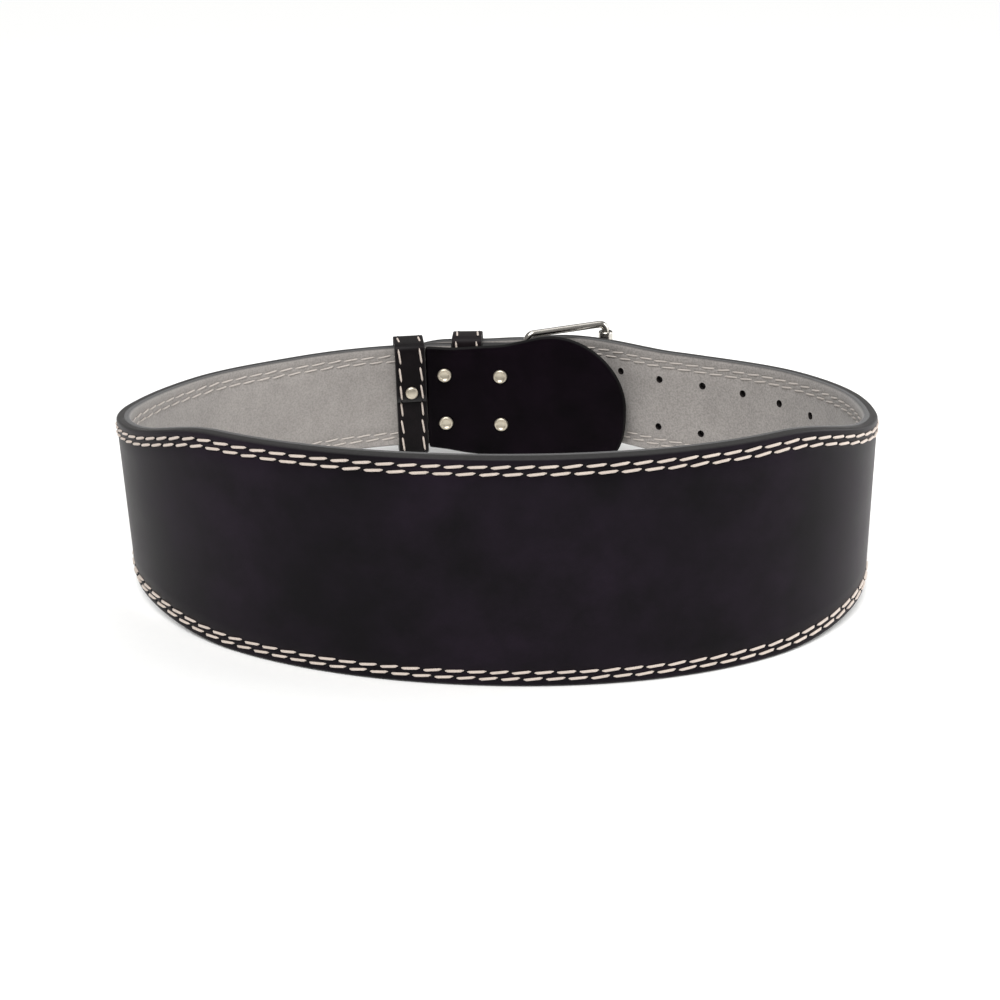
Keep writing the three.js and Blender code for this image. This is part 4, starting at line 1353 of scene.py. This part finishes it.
class BELT_OT_rivets(BeltPieces, bpy.types.Operator):
    """Rivets of the shield and of the riveted keeper"""

    bl_idname = "belt.rivets"
    bl_label = "Rivets"

    def make(self, layout):
        shield, gap, keeper = layout.shield, layout.band.gap, layout.keeper
        height, shank = shield.head_height, shield.shank / 2
        # Heights are measured inwards from the plan curve
        face, tail = layout.face + gap + shield.thickness, -layout.face - gap
        rivets_at(layout, "shield_rivets_fine", [
            *rivet_rows(SHIELD_HEAD_ROWS, shield.head / 2, face, height), (shank, face), (shank, tail),
            *rivet_rows(CAP_ROWS, shield.cap / 2, tail, -shield.cap_height),
        ], layout.rivet_places(), [f"shield_rivet_{i}" for i in range(1, 5)])
        tail = layout.face + gap + keeper.room
        face = tail + 2 * keeper.thickness + gap
        rows = rivet_rows(KEEPER_HEAD_ROWS, keeper.rivet_head / 2, face + gap, height)
        rivets_at(layout, "keeper_rivet_fine", [
            *rows, (keeper.rivet_head / 2, face), (shank, face), (shank, tail), (0.0, tail),
        ], [(keeper.riveted_at, layout.keeper_rivet)], ["keeper_rivet"])


def rivet_rows(rows, radius, face, height):
    return [(share * radius, face + lift * height) for share, lift in rows]


def rivets_at(layout, name, profile, places, nodes):
    """Rivets with one profile at (place, height) spots."""
    shape = mesh_object("rivet_shape", *lathe(profile, Vector((0, 0, 0)), RIVET_SIDES), 30.0)
    lane = layout.flat_lane
    spots = [(layout.at(lane, place, 0, z), -upright(layout.lane_normal(lane, place))) for place, z in places]
    belongs(copies_at(name, shape, spots, nickel()), None, "nickel_rivet", *nodes)


class BELT_OT_stitching(BeltPieces, bpy.types.Operator):
    """Two rows of stitching along both edges, outside and inside, and on the keepers"""

    bl_idname = "belt.stitching"
    bl_label = "Stitching"

    def make(self, layout):
        stitch = layout.stitch
        waxed = finish(thread_finish, "waxed_cotton_thread", colours().thread)
        dusty = finish(thread_finish, "dusty_cotton_thread", colours().bobbin)
        for name, extra, face, end, size, thread, prick in (
            ("outer_stitching", 0.0, layout.face - SINK, layout.buckle.fold, 1.0, waxed, needle_prick_shade()),
            ("lining_stitching", LINING_INSET, SINK - layout.face, layout.lining_end, 0.75, dusty, suede()),
        ):
            rows = [
                seam_row(layout, inset + extra, face, end - layout.length, row)
                for row, inset in enumerate((stitch.first, stitch.second))
            ]
            stitched(name, rows, stitch, stitch.pitch, size * stitch.thread, thread, prick)
        stitched("keeper_stitching", keeper_seams(layout), stitch, stitch.keeper_pitch, 0.85 * stitch.thread,
                 waxed, needle_prick_shade())


def keeper_seams(layout):
    """A seam along both edges of each keeper, on its outer side, with whole stitches on each straight."""
    pitch = layout.stitch.keeper_pitch
    rows = []
    for _, place, width, corners, closed in keeper_paths(layout):
        origin, outward, along = keeper_frame(layout, place)
        for start, end in zip(corners, corners[1:] + corners[:1] if closed else corners[1:]):
            run = Vector(end) - Vector(start)
            tangent = run.normalized()
            climbs = abs(tangent.y) > 0.5
            stitches = int((run.length - 2 * MM) / pitch + (0.5 if climbs else 0.0))
            half = (max(stitches, 1) - 1) * pitch / 2 + 0.01 * MM
            middle = (Vector(start) + Vector(end)) / 2
            if climbs:
                # The upright runs are sewn from the top down
                middle.y += run.length / 2 - pitch / 2 - 0.4 * MM - half
            normal = outward * tangent.y + Vector((0, 0, -tangent.x))
            for side in (1, -1):
                aside = along * (side * (width / 2 - KEEPER_INSET))
                shift = aside + normal * (layout.keeper.thickness / 2 - SINK)
                row = []
                for flat in (middle - tangent * half, middle + tangent * half):
                    row.append((origin + outward * flat.x + Vector((0, 0, flat.y)) + shift, normal))
                rows.append(row)
    return rows


def seam_row(layout, inset, outward, end, row):
    """A seam that runs in along the lower edge, round the tongue's tip and back along the upper edge."""
    band, lane = layout.band, layout.tongue_lane
    start = band.overlap - band.tip

    def put(place, z):
        spot = layout.at(lane, place, outward, z)
        return spot, (layout.at(lane, place, 2 * outward, z) - spot).normalized()

    lower, upper = [], []
    for place in even(end + row * layout.stitch.pitch / 2, start, RUN_STEP):
        low, high = layout.band_edges(place)
        lower.append(put(place, low + inset))
        upper.append(put(place, high - inset))
    middle, half = (low + high) / 2, (high - low) / 2 - inset
    for i in range(1, SEAM_STEPS):
        angle = i / SEAM_STEPS * math.pi
        lower.append(put(start + (band.tip - inset) * math.sin(angle), middle - half * math.cos(angle)))
    return lower + upper[::-1]


class BELT_OT_hole_rims(BeltPieces, bpy.types.Operator):
    """Pale pressed rims round the punched holes of the lining"""

    bl_idname = "belt.hole_rims"
    bl_label = "Hole Rims"

    def make(self, layout):
        radius, wall = layout.band.hole / 2 + 0.25 * MM, 0.3 * MM
        sections = [
            [Vector((x, y, 0)) * (radius + wall * cosine) + Vector((0, 0, 0.5 * wall * sine))
             for cosine, sine in full_turn(8)]
            for x, y in full_turn(28)
        ]
        shape = loft("rim_shape", sections, closed=True, smooth_angle=60.0)
        lane = layout.tongue_lane
        spots = [
            (layout.at(lane, place, -layout.face, z), -upright(layout.lane_normal(lane, place)))
            for place, z in layout.holes()
        ]
        belongs(copies_at("hole_rims", shape, spots, suede()), None, "grey_suede")


class BELT_OT_stage(bpy.types.Operator):
    """Pale floor and soft studio lights"""

    bl_idname = "belt.stage"
    bl_label = "Stage"

    def execute(self, context):
        scene = context.scene
        size = 30.0
        floor = mesh_object("studio_floor", [Vector((x * size, y * size, -0.2 * MM)) for x, y in SQUARE], [
            (0, 1, 2, 3)])
        dark, pale = (rgba(colours().floor, share) for share in (0.99, 1.01))
        floor.data.materials.append(finish(matt_finish, "studio_paper", dark, pale, 4 * MM, 2.0, 0.9, 0.1))
        world = bpy.data.worlds.new("studio")
        world.use_nodes = True
        tree = world.node_tree
        fill(tree, tree.nodes["Background"], {"Color": rgba(linear("#ffffff")), "Strength": 0.3})
        scene.world = world
        key = lamp("key_light", "SUN", 3.0, (-0.03, -0.6, 0.85), (0, 0, 0))
        key.angle = math.radians(40)
        for name, place, aim, width, height, power in (
            ("softbox_top", (0.1, 0.5, 1.5), (0, 0, 0.05), 1.4, 1.0, 6.0),
            ("softbox_right", (1.2, 0.25, 0.45), (0.1, -0.05, 0.05), 0.9, 0.7, 10.0),
        ):
            light = lamp(name, "AREA", power, place, aim)
            light.shape = "RECTANGLE"
            light.size, light.size_y = width, height
        scene.view_settings.view_transform = "Standard"
        return {"FINISHED"}


def lamp(name, kind, power, place, aim):
    """A light at a place, turned towards its aim."""
    light = bpy.data.lights.new(name, kind)
    light.energy = power
    thing = bpy.data.objects.new(name, light)
    thing.location = place
    thing.rotation_euler = (Vector(aim) - Vector(place)).to_track_quat("-Z", "Y").to_euler()
    bpy.context.scene.collection.objects.link(thing)
    return light


class BELT_OT_camera(bpy.types.Operator):
    """Camera at the photograph's viewing angle"""

    bl_idname = "belt.camera"
    bl_label = "Camera"

    def execute(self, context):
        pitch, yaw, roll = (math.radians(angle) for angle in (22.57, -8.26, -1.38))
        forward = Vector((math.sin(yaw) * math.cos(pitch), math.cos(yaw) * math.cos(pitch), -math.sin(pitch)))
        level = Vector((math.cos(yaw), -math.sin(yaw), 0))
        up = level.cross(forward)
        right = level * math.cos(roll) + up * math.sin(roll)
        above = up * math.cos(roll) - level * math.sin(roll)
        data = bpy.data.cameras.new("photo_camera")
        data.lens = 54.0
        data.sensor_width = 36.0
        camera = bpy.data.objects.new("photo_camera", data)
        turn = Matrix((right, above, -forward)).transposed().to_4x4()
        camera.matrix_world = Matrix.Translation((98.2 * MM, -680.1 * MM, 310.0 * MM)) @ turn
        context.scene.collection.objects.link(camera)
        context.scene.camera = camera
        return {"FINISHED"}


class BELT_PT_panel(bpy.types.Panel):
    """Lists the belt's pieces"""

    bl_label = "Weightlifting Belt"
    bl_idname = "BELT_PT_panel"
    bl_space_type = "VIEW_3D"
    bl_region_type = "UI"
    bl_category = "Belt"

    def draw(self, context):
        for operator in OPERATORS:
            self.layout.operator(operator.bl_idname)
        for name in GROUPS:
            box = self.layout.box()
            group = getattr(context.scene, name)
            for key in group.__annotations__:
                box.prop(group, key)


GROUPS = {
    "belt_loop": BeltLoopSizes, "belt_band": BeltBandSizes, "belt_buckle": BeltBuckleSizes,
    "belt_shield": BeltShieldSizes, "belt_keeper": BeltKeeperSizes, "belt_stitch": BeltStitchSizes,
    "belt_colours": BeltColours,
}
OPERATORS = (
    BELT_OT_camera, BELT_OT_stage, BELT_OT_outer_leather, BELT_OT_suede_lining, BELT_OT_buckle_shield,
    BELT_OT_keepers, BELT_OT_buckle, BELT_OT_rivets, BELT_OT_stitching, BELT_OT_hole_rims,
)


def register():
    for group in GROUPS.values():
        bpy.utils.register_class(group)
    for name, group in GROUPS.items():
        setattr(bpy.types.Scene, name, PointerProperty(type=group))
    for operator in OPERATORS:
        bpy.utils.register_class(operator)
    bpy.utils.register_class(BELT_PT_panel)


def unregister():
    bpy.utils.unregister_class(BELT_PT_panel)
    for operator in reversed(OPERATORS):
        bpy.utils.unregister_class(operator)
    for name, group in GROUPS.items():
        delattr(bpy.types.Scene, name)
        bpy.utils.unregister_class(group)


def main():
    register()
    for operator in OPERATORS:
        family, action = operator.bl_idname.split(".")
        getattr(getattr(bpy.ops, family), action)()


if __name__ == "__main__":
    main()
